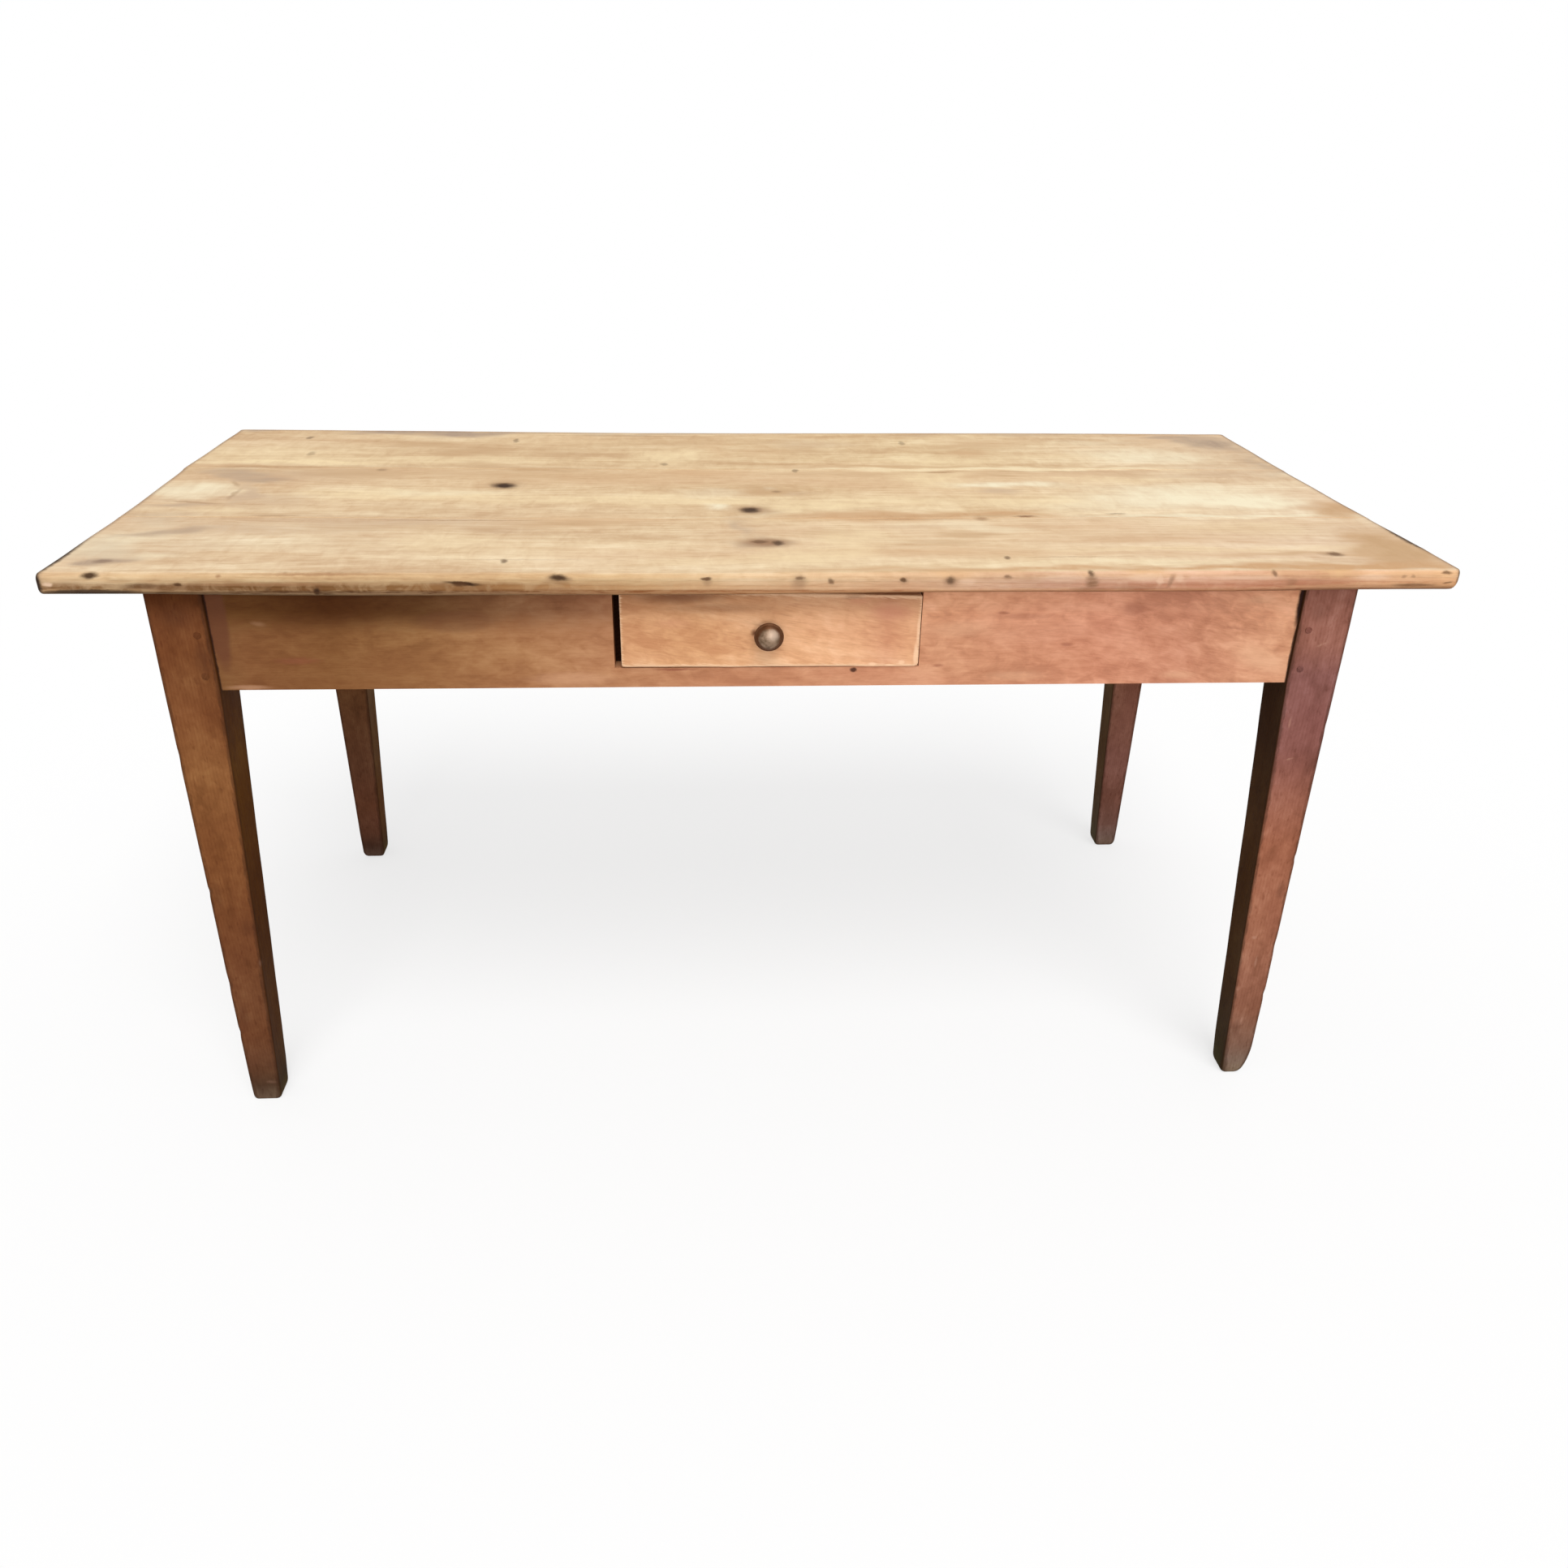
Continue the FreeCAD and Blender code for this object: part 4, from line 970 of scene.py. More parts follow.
topPine = {
    "grain": "xyz",
    "joints": (-0.1445, 0.1175),
    "pith": (-0.31, 0.55, 0.012),
    "pithStep": -0.21,
    "ring": 0.0052,
    "driftStretch": (0.9, 3.5, 1.0),
    "drift": 0.050,
    "streaks": (3.2, 22.0, 22.0),
    "twist": 0.7,
    "figure": (5.0, 12.0, 12.0),
    "figureShare": 0.6,
    "figureTwist": 1.2,
    "patches": (1.6, 4.5, 4.5),
    "mottle": (52.0, 26.0, 62.0),
    "mottleShare": 0.50,
    "fibres": (38.0, 420.0, 420.0),
    "flecks": (24.0, 190.0, 190.0),
    "tones": {0.28: tone(212, 178, 138), 0.44: tone(225, 195, 155),
              0.56: tone(233, 206, 166), 0.74: tone(245, 222, 184)},
    "rosy": tone(226, 190, 154),
    "rosyShare": 0.45,
    "late": tone(226, 204, 180),
    "ringShare": 0.24,
    "fibreTone": tone(214, 188, 160),
    "fibreShare": 0.22,
    "fleckTone": tone(206, 178, 148),
    "fleckShare": 0.28,
    "endTone": tone(214, 190, 168),
    "endShare": 0.8,
    "arrisTone": tone(222, 184, 138),
    "arrisShare": 0.25,
    "rough": (0.62, 0.76),
    "shine": 0.10,
    "bump": 0.5,
    "knots": [
        (-0.348, 0.022, 0.07, 0.034, 0.8), (-0.01, -0.103, 0.065, 0.032, 0.8),
        (0.006, -0.25, 0.08, 0.038, 0.8), (0.02, -0.003, 0.08, 0.03, 0.7),
        (-0.75, 0.000, 0.11, 0.06, 0.8), (-0.7, -0.205, 0.11, 0.05, 0.7),
        (0.688, -0.304, 0.08, 0.03, 0.8),
    ],
    "fields": {
        "straw": tone(245, 222, 178), "pale": tone(246, 233, 201), "mauve": tone(204, 176, 146),
        "rust": tone(208, 165, 122), "tan": tone(198, 162, 122), "grey": tone(176, 152, 130),
        "rim": tone(132, 104, 86),
    },
    "washes": [
        # the face is paler and less yellow towards the right
        {"facing": [("z", 0.5, 0.95)], "run": ("x", -0.81, 0.81), "stops": {
            -0.81: (1.0, 1.0, 1.02), 0.00: (1.02, 1.02, 1.01), 0.3: (1.05, 1.07, 1.06),
            0.58: (1.08, 1.12, 1.19), 0.72: (1.08, 1.13, 1.24),
        }},
        # and darker and yellower towards the back: painted shade
        {"facing": [("z", 0.5, 0.95)], "run": ("y", -0.372, 0.372), "stops": {
            -0.372: (1.00, 1.02, 1.06), -0.2: (0.98, 1.00, 1.04), 0.00: (0.955, 0.955, 0.955),
            0.18: (0.92, 0.91, 0.89), 0.372: (0.92, 0.905, 0.885),
        }},
        # the front edge, by its length
        {"facing": [("y", -0.08, -0.60)], "run": ("x", -0.81, 0.81), "stops": {
            -0.8: tone(220, 213, 208), -0.7: tone(229, 226, 222), -0.6: tone(218, 209, 199),
            -0.45: tone(225, 219, 210), -0.16: tone(226, 219, 208), 0.00: tone(238, 232, 231),
            0.11: tone(248, 241, 243), 0.24: tone(238, 225, 233), 0.32: tone(230, 214, 226),
            0.52: tone(238, 212, 220), 0.64: tone(224, 193, 194), 0.71: tone(243, 219, 216),
            0.8: tone(244, 219, 206),
        }},
        # its lower half is darker, most of all on the left: painted shade where the edge rounds down
        {"facing": [("y", -0.15, -0.8)], "band": [("z", 0.7515, 0.7430)], "rag": 0.8, "mottled": True,
         "run": ("x", -0.81, 0.81), "stops": {
            -0.8: tone(166, 143, 122), -0.6: tone(150, 124, 98), -0.45: tone(164, 138, 112),
            -0.3: tone(192, 163, 137), -0.15: tone(240, 224, 212), 0.1: tone(244, 232, 226),
            0.25: tone(236, 222, 216), 0.42: tone(222, 198, 186), 0.6: tone(226, 204, 194),
            0.8: tone(228, 208, 196),
         }},
        # dark line along its lower arris: painted shade
        {"facing": [("y", 0.00, -0.22)], "band": [("z", 0.7410, 0.7365)], "rag": 0.5,
         "run": ("x", -0.81, 0.81), "stops": {
            -0.8: tone(112, 84, 62), -0.6: tone(112, 80, 54), -0.4: tone(136, 100, 72),
            -0.2: tone(168, 128, 100), 0.1: tone(202, 168, 144), 0.22: tone(214, 180, 160),
            0.45: tone(204, 160, 140), 0.64: tone(204, 158, 138), 0.8: tone(186, 142, 118),
         }},
        # painted shade: faces that look down are darker
        {"facing": [("z", -0.4, -0.9)], "share": 0.9, "colour": tone(196, 174, 150)},
    ],
    "stains": [
        {"colour": tone(150, 108, 74), "core": 0.15, "marks": [
            onTop(-0.346, 0.026, 0.036, 0.036, 0.45, -40), onTop(-0.01, -0.102, 0.036, 0.032, 0.55),
            onTop(0.000, -0.25, 0.046, 0.03, 0.75), onTop(0.68, -0.305, 0.024, 0.014, 0.45),
            onTop(0.285, -0.15, 0.014, 0.014, 0.55), onTop(0.345, -0.138, 0.024, 0.007, 0.85),
            onTop(-0.735, -0.074, 0.05, 0.0055, 0.5, -10), onTop(-0.693, -0.032, 0.006, 0.042, 0.42),
            onTop(-0.707, 0.02, 0.006, 0.026, 0.35, 30), onTop(-0.612, -0.138, 0.045, 0.006, 0.4),
            onTop(-0.39, -0.155, 0.16, 0.0035, 0.45), onTop(0.19, -0.15, 0.13, 0.003, 0.45),
            onTop(0.45, 0.105, 0.2, 0.0045, 0.3), onTop(0.272, 0.1, 0.032, 0.005, 0.6),
            onTop(-0.7, 0.118, 0.11, 0.005, 0.45), onTop(-0.2, 0.345, 0.2, 0.005, 0.35),
            onTop(-0.3, -0.317, 0.13, 0.0035, 0.22), onTop(0.36, -0.315, 0.09, 0.0035, 0.3),
            onTop(-0.64, 0.12, 0.08, 0.004, 0.4), onEdge(-0.5, 0.7575, 0.11, 0.0022, 0.6),
            onEdge(-0.56, 0.7465, 0.15, 0.0028, 0.65), onEdge(-0.235, 0.74, 0.03, 0.0035, 0.6),
            onEdge(-0.605, 0.756, 0.005, 0.003, 0.7),
        ]},
        {"colour": tone(122, 86, 58), "core": 0.2, "grit": 0.3, "marks": [
            onEdge(0.033, 0.748, 0.014, 0.012, 0.5), onEdge(0.206, 0.748, 0.014, 0.009, 0.55),
            onEdge(0.37, 0.747, 0.012, 0.013, 0.8), onEdge(0.462, 0.748, 0.0045, 0.012, 0.55, -20),
            onEdge(-0.345, 0.745, 0.05, 0.007, 0.45, -5), onEdge(-0.237, 0.75, 0.024, 0.007, 0.45),
            onEdge(-0.501, 0.741, 0.009, 0.007, 0.6), onEdge(0.42, 0.74, 0.05, 0.006, 0.3),
            onEdge(-0.66, 0.743, 0.06, 0.007, 0.45), onEdge(0.153, 0.749, 0.01, 0.006, 0.35),
            onEdge(-0.07, 0.748, 0.008, 0.008, 0.4), onEdge(0.272, 0.753, 0.009, 0.004, 0.45),
            onEdge(0.368, 0.738, 0.03, 0.005, 0.45), onEdge(0.605, 0.746, 0.01, 0.007, 0.35),
            onEdge(0.752, 0.7425, 0.036, 0.0036, 0.9),
        ]},
        {"colour": tone(58, 36, 20), "core": 0.25, "pit": 0.5, "marks": [
            onTop(-0.347, 0.021, 0.025, 0.021, 1.0, -40), onTop(-0.012, -0.103, 0.019, 0.021, 0.95),
            onTop(0.016, -0.252, 0.01, 0.015, 0.75), onEdge(-0.742, 0.7565, 0.013, 0.005, 0.95, 5),
            onEdge(-0.501, 0.7385, 0.0058, 0.0058, 1.0), onEdge(-0.342, 0.747, 0.028, 0.003, 1.0, -5),
            onEdge(-0.236, 0.753, 0.0165, 0.0044, 0.95, -4), onEdge(0.206, 0.7495, 0.008, 0.0068, 0.65),
            onEdge(0.368, 0.7575, 0.0068, 0.005, 0.75, -45),
        ]},
        {"colour": tone(82, 52, 30), "core": 0.3, "marks": [
            onTop(-0.006, -0.247, 0.014, 0.01, 0.55), onTop(-0.685, 0.312, 0.008, 0.015, 0.55),
            onTop(-0.365, 0.305, 0.006, 0.02, 0.5), onTop(-0.655, 0.205, 0.008, 0.02, 0.3),
            onTop(-0.13, 0.152, 0.007, 0.013, 0.45), onTop(-0.53, 0.105, 0.01, 0.011, 0.3),
            onTop(0.245, 0.295, 0.007, 0.02, 0.4), onTop(0.062, 0.112, 0.006, 0.014, 0.5),
            onTop(-0.302, -0.323, 0.006, 0.011, 0.7), onTop(0.282, -0.317, 0.0055, 0.01, 0.65),
            onTop(0.47, -0.125, 0.02, 0.0045, 0.45), onTop(0.684, -0.306, 0.013, 0.012, 0.65, 8),
            onTop(0.028, -0.008, 0.01, 0.008, 0.35), onTop(-0.745, -0.327, 0.014, 0.01, 0.35),
            onTop(0.345, -0.138, 0.014, 0.005, 0.2), onEdge(-0.65, 0.747, 0.0065, 0.0028, 0.95),
            onEdge(-0.555, 0.741, 0.006, 0.003, 0.5), onEdge(-0.345, 0.7462, 0.012, 0.004, 0.9),
            onEdge(-0.072, 0.752, 0.0085, 0.003, 0.85), onEdge(0.034, 0.752, 0.008, 0.003, 0.65),
            onEdge(0.069, 0.749, 0.0058, 0.0042, 0.7, -40), onEdge(0.152, 0.75, 0.006, 0.0034, 0.85, -15),
            onEdge(0.583, 0.7565, 0.0062, 0.004, 0.65, -45), onEdge(0.738, 0.753, 0.004, 0.0026, 0.35),
            onEdge(0.748, 0.753, 0.004, 0.0026, 0.35), onEdge(0.79, 0.7565, 0.009, 0.0022, 0.75),
            onEdge(0.792, 0.7455, 0.008, 0.002, 0.6, 8), onEdge(0.272, 0.754, 0.005, 0.0022, 0.45),
            # the long thin line at the foot of the edge on the left is painted shade
            onEdge(-0.69, 0.745, 0.03, 0.0045, 0.45), onEdge(-0.585, 0.7375, 0.18, 0.0016, 0.55),
        ]},
        # light scuffs on the edge
        {"colour": tone(236, 202, 172), "core": 0.3, "marks": [
            onEdge(-0.788, 0.747, 0.007, 0.0032, 0.7), onEdge(0.335, 0.752, 0.03, 0.006, 0.3),
            onEdge(0.43, 0.753, 0.026, 0.006, 0.45), onEdge(0.555, 0.752, 0.06, 0.004, 0.35),
            onEdge(0.7, 0.752, 0.03, 0.005, 0.45), onEdge(0.472, 0.752, 0.007, 0.006, 0.4),
            onEdge(0.449, 0.75, 0.005, 0.009, 0.4, 10), onEdge(0.225, 0.748, 0.014, 0.005, 0.4),
        ]},
        # the ends' upper arrises, dark; the last mark is painted shade along the left end's lower arris
        {"colour": tone(54, 40, 30), "core": 0.5, "marks": [
            (-0.8005, -0.31, 0.7605, (0.012, 0.1, 0.006), (0.0, 0.0, 0.0), 0.9),
            (-0.8005, -0.368, 0.748, (0.0085, 0.014, 0.02), (0.0, 0.0, 0.0), 1.0),
            (0.806, -0.235, 0.7605, (0.011, 0.07, 0.006), (0.0, 0.0, 0.0), 0.8),
            (0.808, -0.366, 0.75, (0.007, 0.014, 0.016), (0.0, 0.0, 0.0), 0.5),
            onEdge(-0.745, 0.7385, 0.064, 0.004, 0.85),
        ]},
    ],
    "shake": (0.008, 0.008, 0.0035),
    "shakeStretch": (90, 90, 150),
}

legWood = {
    "grain": "zxy",
    "shift": {"x": 2.3, "y": 4.1},
    "pith": (0.10, 0.06, 0.02),
    "pithStep": 0.017,
    "ring": 0.0035,
    "driftStretch": (1.2, 8.0, 8.0),
    "drift": 0.020,
    "streaks": (9.0, 26.0, 26.0),
    "figure": (15.0, 24.0, 24.0),
    "figureShare": 0.6,
    "patches": (4.2, 9.0, 9.0),
    "mottle": (70.0, 90.0, 90.0),
    "mottleShare": 0.6,
    "fibres": (70.0, 420.0, 420.0),
    "flecks": (60.0, 170.0, 170.0),
    "tones": {0.28: tone(140, 88, 64), 0.45: tone(154, 99, 74),
              0.58: tone(163, 107, 81), 0.74: tone(174, 119, 92)},
    "rosy": tone(150, 90, 70),
    "rosyShare": 0.4,
    "late": tone(206, 182, 168),
    "ringShare": 0.2,
    "fibreTone": tone(210, 188, 172),
    "fibreShare": 0.14,
    "fleckTone": tone(180, 150, 132),
    "fleckShare": 0.35,
    "endTone": tone(170, 150, 136),
    "endShare": 0.8,
    "arrisTone": tone(58, 34, 20),
    "arrisShare": 0.55,
    "rough": (0.62, 0.78),
    "bump": 0.3,
    "shine": 0.06,
    "washes": [
        # the left legs, then the right legs, by height: the left ones darker, partly their own tone and
        # partly painted shade, with painted shade near the top of the left legs under the table top
        {"band": [("x", 0.2, -0.2)], "run": ("z", 0.0, 0.76), "stops": {
            0.0: tone(176, 222, 238), 0.025: tone(132, 148, 144), 0.05: tone(152, 156, 143),
            0.075: tone(170, 171, 156), 0.11: tone(175, 168, 144), 0.17: tone(184, 179, 155),
            0.24: tone(184, 176, 147), 0.31: tone(192, 184, 148), 0.38: tone(205, 199, 156),
            0.5: tone(222, 224, 179), 0.58: tone(197, 186, 149), 0.62: tone(198, 192, 155),
            0.66: tone(187, 175, 138), 0.7: tone(188, 177, 143), 0.72: tone(148, 130, 93),
        }},
        {"band": [("x", -0.2, 0.2)], "run": ("z", 0.0, 0.76), "stops": {
            0.0: tone(204, 262, 278), 0.025: tone(204, 256, 288), 0.05: tone(202, 228, 247),
            0.11: tone(216, 217, 222), 0.17: tone(244, 248, 258), 0.24: tone(252, 252, 255),
            0.38: tone(255, 248, 248), 0.45: tone(242, 238, 255), 0.52: tone(223, 222, 262),
            0.62: tone(223, 228, 275), 0.66: tone(245, 250, 280), 0.735: tone(236, 236, 262),
        }},
        # painted light: the back legs lighter, most of all towards the feet, against the shade under the
        # table
        {"band": [("y", -0.1, 0.1)], "run": ("z", 0.0, 0.76), "stops": {
            0.0: (1.75, 1.8, 2.3), 0.05: (2.1, 2.25, 3.1), 0.12: (1.8, 2.15, 3.1), 0.2: (1.5, 1.85, 2.7),
            0.32: (1.36, 1.7, 2.3), 0.42: (1.33, 1.45, 1.75), 0.58: (1.28, 1.34, 1.46),
        }},
        # painted shade: faces that look towards the middle of the table are darker
        {"inward": [("x", 0.35, 0.85)], "run": ("x", -0.1, 0.1), "stops": {
            -0.1: tone(200, 192, 118), 0.1: tone(132, 135, 90),
        }},
        {"inward": [("y", 0.35, 0.85)], "colour": tone(190, 180, 166)},
    ],
    "stains": [
        # pale scuffs
        {"colour": tone(186, 140, 118), "core": 0.2, "grit": 0.6, "marks": [
            onLeg(0.672, 0.66, 0.01, 0.0022, 0.5, 20), onLeg(0.652, 0.556, 0.0022, 0.009, 0.55),
            onLeg(0.662, 0.505, 0.008, 0.002, 0.45, 15), onLeg(0.668, 0.235, 0.005, 0.004, 0.45),
            onLeg(0.678, 0.195, 0.003, 0.012, 0.45), onLeg(0.661, 0.15, 0.004, 0.006, 0.35),
            onLeg(0.676, 0.095, 0.0026, 0.01, 0.4), onLeg(-0.655, 0.226, 0.003, 0.008, 0.15),
            onLeg(-0.64, 0.3, 0.003, 0.01, 0.15), onLeg(-0.672, 0.03, 0.01, 0.004, 0.15),
        ]},
        # dark bruises
        {"colour": tone(66, 34, 22), "core": 0.15, "grit": 0.4, "marks": [
            onLeg(-0.67, 0.7, 0.026, 0.02, 0.4), onLeg(-0.648, 0.65, 0.014, 0.03, 0.45),
            onLeg(-0.69, 0.33, 0.008, 0.03, 0.3), onLeg(-0.66, 0.28, 0.016, 0.02, 0.3),
            onLeg(-0.69, 0.14, 0.01, 0.03, 0.3), onLeg(-0.668, 0.06, 0.012, 0.012, 0.35),
            onLeg(0.66, 0.7, 0.02, 0.016, 0.25), onLeg(0.69, 0.5, 0.01, 0.03, 0.3),
            onLeg(0.69, 0.31, 0.008, 0.02, 0.35), onLeg(0.67, 0.08, 0.01, 0.02, 0.3),
        ]},
    ],
    "shake": (0.004, 0.003, 0.006),
}

apronWood = {
    "grain": "xzy",
    "shift": {"y": 3.3},
    "lean": (0.36, 0.66, 0.045),
    "pith": (0.62, 0.20, 0.02),
    "pithStep": 0.02,
    "ring": 0.0050,
    "driftStretch": (1.6, 5.0, 1.0),
    "drift": 0.055,
    "streaks": (8.0, 22.0, 20.0),
    "figure": (12.0, 24.0, 12.0),
    "figureShare": 0.7,
    "figureTwist": 1.2,
    "patches": (2.2, 8.0, 4.0),
    "mottle": (44.0, 70.0, 70.0),
    "mottleShare": 0.75,
    "fibres": (45.0, 480.0, 480.0),
    "flecks": (42.0, 250.0, 250.0),
    "tones": {0.26: tone(192, 134, 101), 0.42: tone(206, 147, 112),
              0.55: tone(216, 158, 122), 0.74: tone(228, 172, 136)},
    "rosy": tone(206, 142, 112),
    "rosyShare": 0.5,
    "late": tone(214, 186, 170),
    "ringShare": 0.12,
    "fibreTone": tone(206, 178, 160),
    "fibreShare": 0.2,
    "fleckTone": tone(194, 164, 148),
    "fleckShare": 0.12,
    "endTone": tone(190, 166, 150),
    "endShare": 0.7,
    "arrisTone": tone(200, 140, 104),
    "arrisShare": 0.0,
    "rough": (0.60, 0.74),
    "bump": 0.5,
    "shine": 0.08,
    "washes": [
        # darker and browner towards the left: partly the wood's tone and partly painted shade
        {"run": ("x", -0.64, 0.64), "stops": {
            -0.64: tone(154, 148, 120), -0.6: tone(160, 150, 122), -0.5: tone(160, 152, 120),
            -0.4: tone(182, 178, 148), -0.3: tone(202, 199, 175), -0.2: tone(216, 213, 197),
            0.00: tone(242, 238, 232), 0.22: tone(255, 255, 255), 0.4: tone(250, 238, 244),
            0.5: tone(245, 235, 242), 0.58: tone(258, 258, 262), 0.64: tone(255, 255, 255),
        }},
        # painted shade under the top's overhang on the left half, and painted light that lifts that shade on
        # the right
        {"facing": [("y", -0.4, -0.9)], "band": [("z", 0.674, 0.706)], "rag": 0.6,
         "run": ("x", -0.64, 0.64), "stops": {
            -0.64: tone(206, 198, 174), -0.5: tone(162, 138, 110), -0.4: tone(170, 156, 142),
            -0.3: tone(208, 202, 204), -0.2: tone(226, 220, 222), 0.2: (1.2, 1.2, 1.2),
            0.45: (1.22, 1.27, 1.3), 0.64: (1.14, 1.12, 1.12),
         }},
        # painted shade: faces that look towards the middle of the table, and those that look down, are darker
        {"inward": [("y", 0.4, 0.9)], "colour": tone(178, 172, 164)},
        {"facing": [("z", -0.4, -0.9)], "share": 0.9, "colour": tone(190, 180, 170)},
    ],
    "stains": [
        {"colour": tone(104, 62, 42), "core": 0.6, "marks": [
            onApron(-0.627, 0.7, 0.015, 0.08, 0.8), onApron(-0.36, 0.692, 0.055, 0.016, 0.35),
        ]},
        {"colour": tone(226, 176, 140), "core": 0.2, "marks": [
            onApron(-0.582, 0.69, 0.012, 0.004, 0.12, -8), onApron(-0.605, 0.612, 0.034, 0.004, 0.3),
            onApron(-0.23, 0.62, 0.07, 0.012, 0.3), onApron(0.6, 0.64, 0.05, 0.022, 0.45, -20),
            onApron(0.23, 0.68, 0.05, 0.014, 0.3), onApron(0.585, 0.715, 0.03, 0.008, 0.3),
            onApron(0.3, 0.62, 0.05, 0.01, 0.35), onApron(0.5, 0.62, 0.03, 0.008, 0.35),
        ]},
        {"colour": tone(142, 78, 60), "core": 0.15, "marks": [
            onApron(-0.545, 0.645, 0.036, 0.006, 0.35), onApron(0.278, 0.7, 0.012, 0.003, 0.5),
            onApron(0.358, 0.66, 0.01, 0.004, 0.5), onApron(0.205, 0.634, 0.01, 0.003, 0.5),
            onApron(0.435, 0.704, 0.024, 0.014, 0.4), onApron(0.56, 0.68, 0.022, 0.003, 0.3, -8),
            onApron(0.3, 0.696, 0.05, 0.006, 0.25), onApron(-0.11, 0.6315, 0.036, 0.0022, 0.7),
        ]},
        # painted shade in the gaps between the apron and the legs
        {"colour": tone(44, 24, 18), "core": 0.4, "marks": [
            onApron(-0.6375, 0.68, 0.003, 0.2, 0.9), onApron(0.6365, 0.715, 0.0065, 0.05, 1.0),
            onApron(0.6375, 0.68, 0.003, 0.2, 0.9),
        ]},
        {"colour": tone(60, 32, 26), "core": 0.4, "pit": 1.0, "marks": [
            onApron(0.103, 0.629, 0.005, 0.004, 0.9),
        ]},
    ],
    "shake": (0.004, 0.002, 0.004),
}

drawerWood = dict(
    apronWood,
    shift={}, pith=(0.55, 0.18, 0.03), lean=(-0.40, 0.40, 0.10), fleckShare=0.2,
    tones={0.26: tone(220, 163, 119), 0.42: tone(232, 178, 132),
           0.55: tone(241, 188, 142), 0.74: tone(250, 202, 157)},
    rosy=tone(222, 160, 122), rosyShare=0.4,
    arrisTone=tone(240, 200, 162), arrisShare=0.75,
    washes=[
        {"run": ("x", -0.18, 0.18), "stops": {
            -0.18: tone(230, 221, 216), -0.15: tone(234, 226, 221), -0.08: tone(238, 232, 226),
            0.04: tone(251, 248, 250), 0.11: tone(252, 250, 254), 0.14: tone(240, 230, 235),
            0.17: tone(252, 250, 253),
        }},
        # painted shade under the top, along the upper part of the face
        {"facing": [("y", -0.4, -0.9)], "band": [("z", 0.690, 0.724)], "colour": tone(228, 224, 220)},
        {"facing": [("y", 0.4, 0.9)], "share": 0.9, "colour": tone(226, 214, 200)},
    ],
    stains=[
        # the first two marks are painted shade below the top, at the upper left
        {"colour": tone(120, 74, 50), "core": 0.1, "marks": [
            onDrawer(-0.105, 0.722, 0.08, 0.014, 0.75), onDrawer(-0.06, 0.708, 0.09, 0.01, 0.32),
            onDrawer(0.1, 0.7205, 0.02, 0.004, 0.4), onDrawer(-0.016, 0.6775, 0.006, 0.006, 0.9),
        ]},
        {"colour": tone(204, 138, 108), "core": 0.1, "marks": [
            onDrawer(0.145, 0.702, 0.036, 0.016, 0.7), onDrawer(0.105, 0.715, 0.02, 0.008, 0.4),
            onDrawer(-0.11, 0.69, 0.03, 0.01, 0.3),
        ]},
        {"colour": tone(246, 204, 166), "core": 0.3, "marks": [
            onDrawer(0.125, 0.6375, 0.007, 0.003, 0.8), onDrawer(0.145, 0.636, 0.008, 0.0022, 0.8),
            onDrawer(0.16, 0.64, 0.005, 0.0035, 0.7), onDrawer(0.1765, 0.65, 0.0038, 0.02, 0.8),
            onDrawer(0.1775, 0.68, 0.0026, 0.03, 0.6),
        ]},
    ],
)

plainPine = dict(
    topPine,
    grain="yzx", joints=(), shift={"x": 2.1}, pith=(0.2, 0.3, 0.02),
    knots=[], stains=[], washes=[], fields={},
    tones={0.28: tone(172, 136, 98), 0.42: tone(196, 160, 120),
           0.54: tone(210, 176, 134), 0.70: tone(222, 190, 148)},
    rosy=tone(190, 152, 116), rosyShare=0.5, arrisShare=0.0, rough=(0.65, 0.8), shine=0.08, ringShare=0.5,
)

woods = {
    "topPine": topPine,
    "legWood": legWood,
    "longApronWood": apronWood,
    "endApronWood": {
        **apronWood, "grain": "yzx", "shift": {"x": 2.7}, "lean": (-1.0, 1.0, 0.0), "stains": [],
        "washes": [
            # darker and browner at the left end than at the right, like the legs beside it: partly the wood's
            # tone and partly painted shade
            {"run": ("x", -0.64, 0.64), "stops": {
                -0.64: tone(184, 174, 150), 0.64: tone(234, 226, 220),
            }},
            # painted shade: inner faces and faces that look down are darker
            {"inward": [("x", 0.4, 0.9)], "colour": tone(178, 172, 164)},
            {"facing": [("z", -0.4, -0.9)], "share": 0.9, "colour": tone(190, 180, 170)},
        ],
    },
    "drawerWood": drawerWood,
    "pinePlainY": plainPine,
    "pinePlainX": dict(plainPine, grain="xzy", shift={"y": 1.7}),
    # the guides and runners: painted shade, near black on faces that look forward, seen through the slot
    # beside the drawer
    "guidePine": dict(plainPine, washes=[{"facing": [("y", -0.4, -0.9)], "colour": tone(58, 42, 34)}]),
    "bottomPine": dict(plainPine, grain="xyz", shift={}),
    "pegWood": dict(
        legWood, grain="yxz", arrisShare=0.0, endShare=0.3,
        tones={0.3: tone(140, 90, 68), 0.7: tone(160, 106, 82)},
    ),
}
made = {name: woodMaterial(name, wood) for name, wood in woods.items()}
print("woods made")


# Metals

brass = {
    "bright": tone(150, 124, 101),
    "dull": tone(108, 84, 63),
    "dark": tone(84, 46, 18),
    "wearAndHighlight": tone(204, 178, 156),
    # painted highlight on the dome's upper right, as a spot
    "paintedHighlightAt": (0.0052, -0.366, 0.6825, (0.0105, 0.030, 0.0095), (0.0, 0.0, 0.0), 0.80),
    "rough": (0.44, 0.54),
}
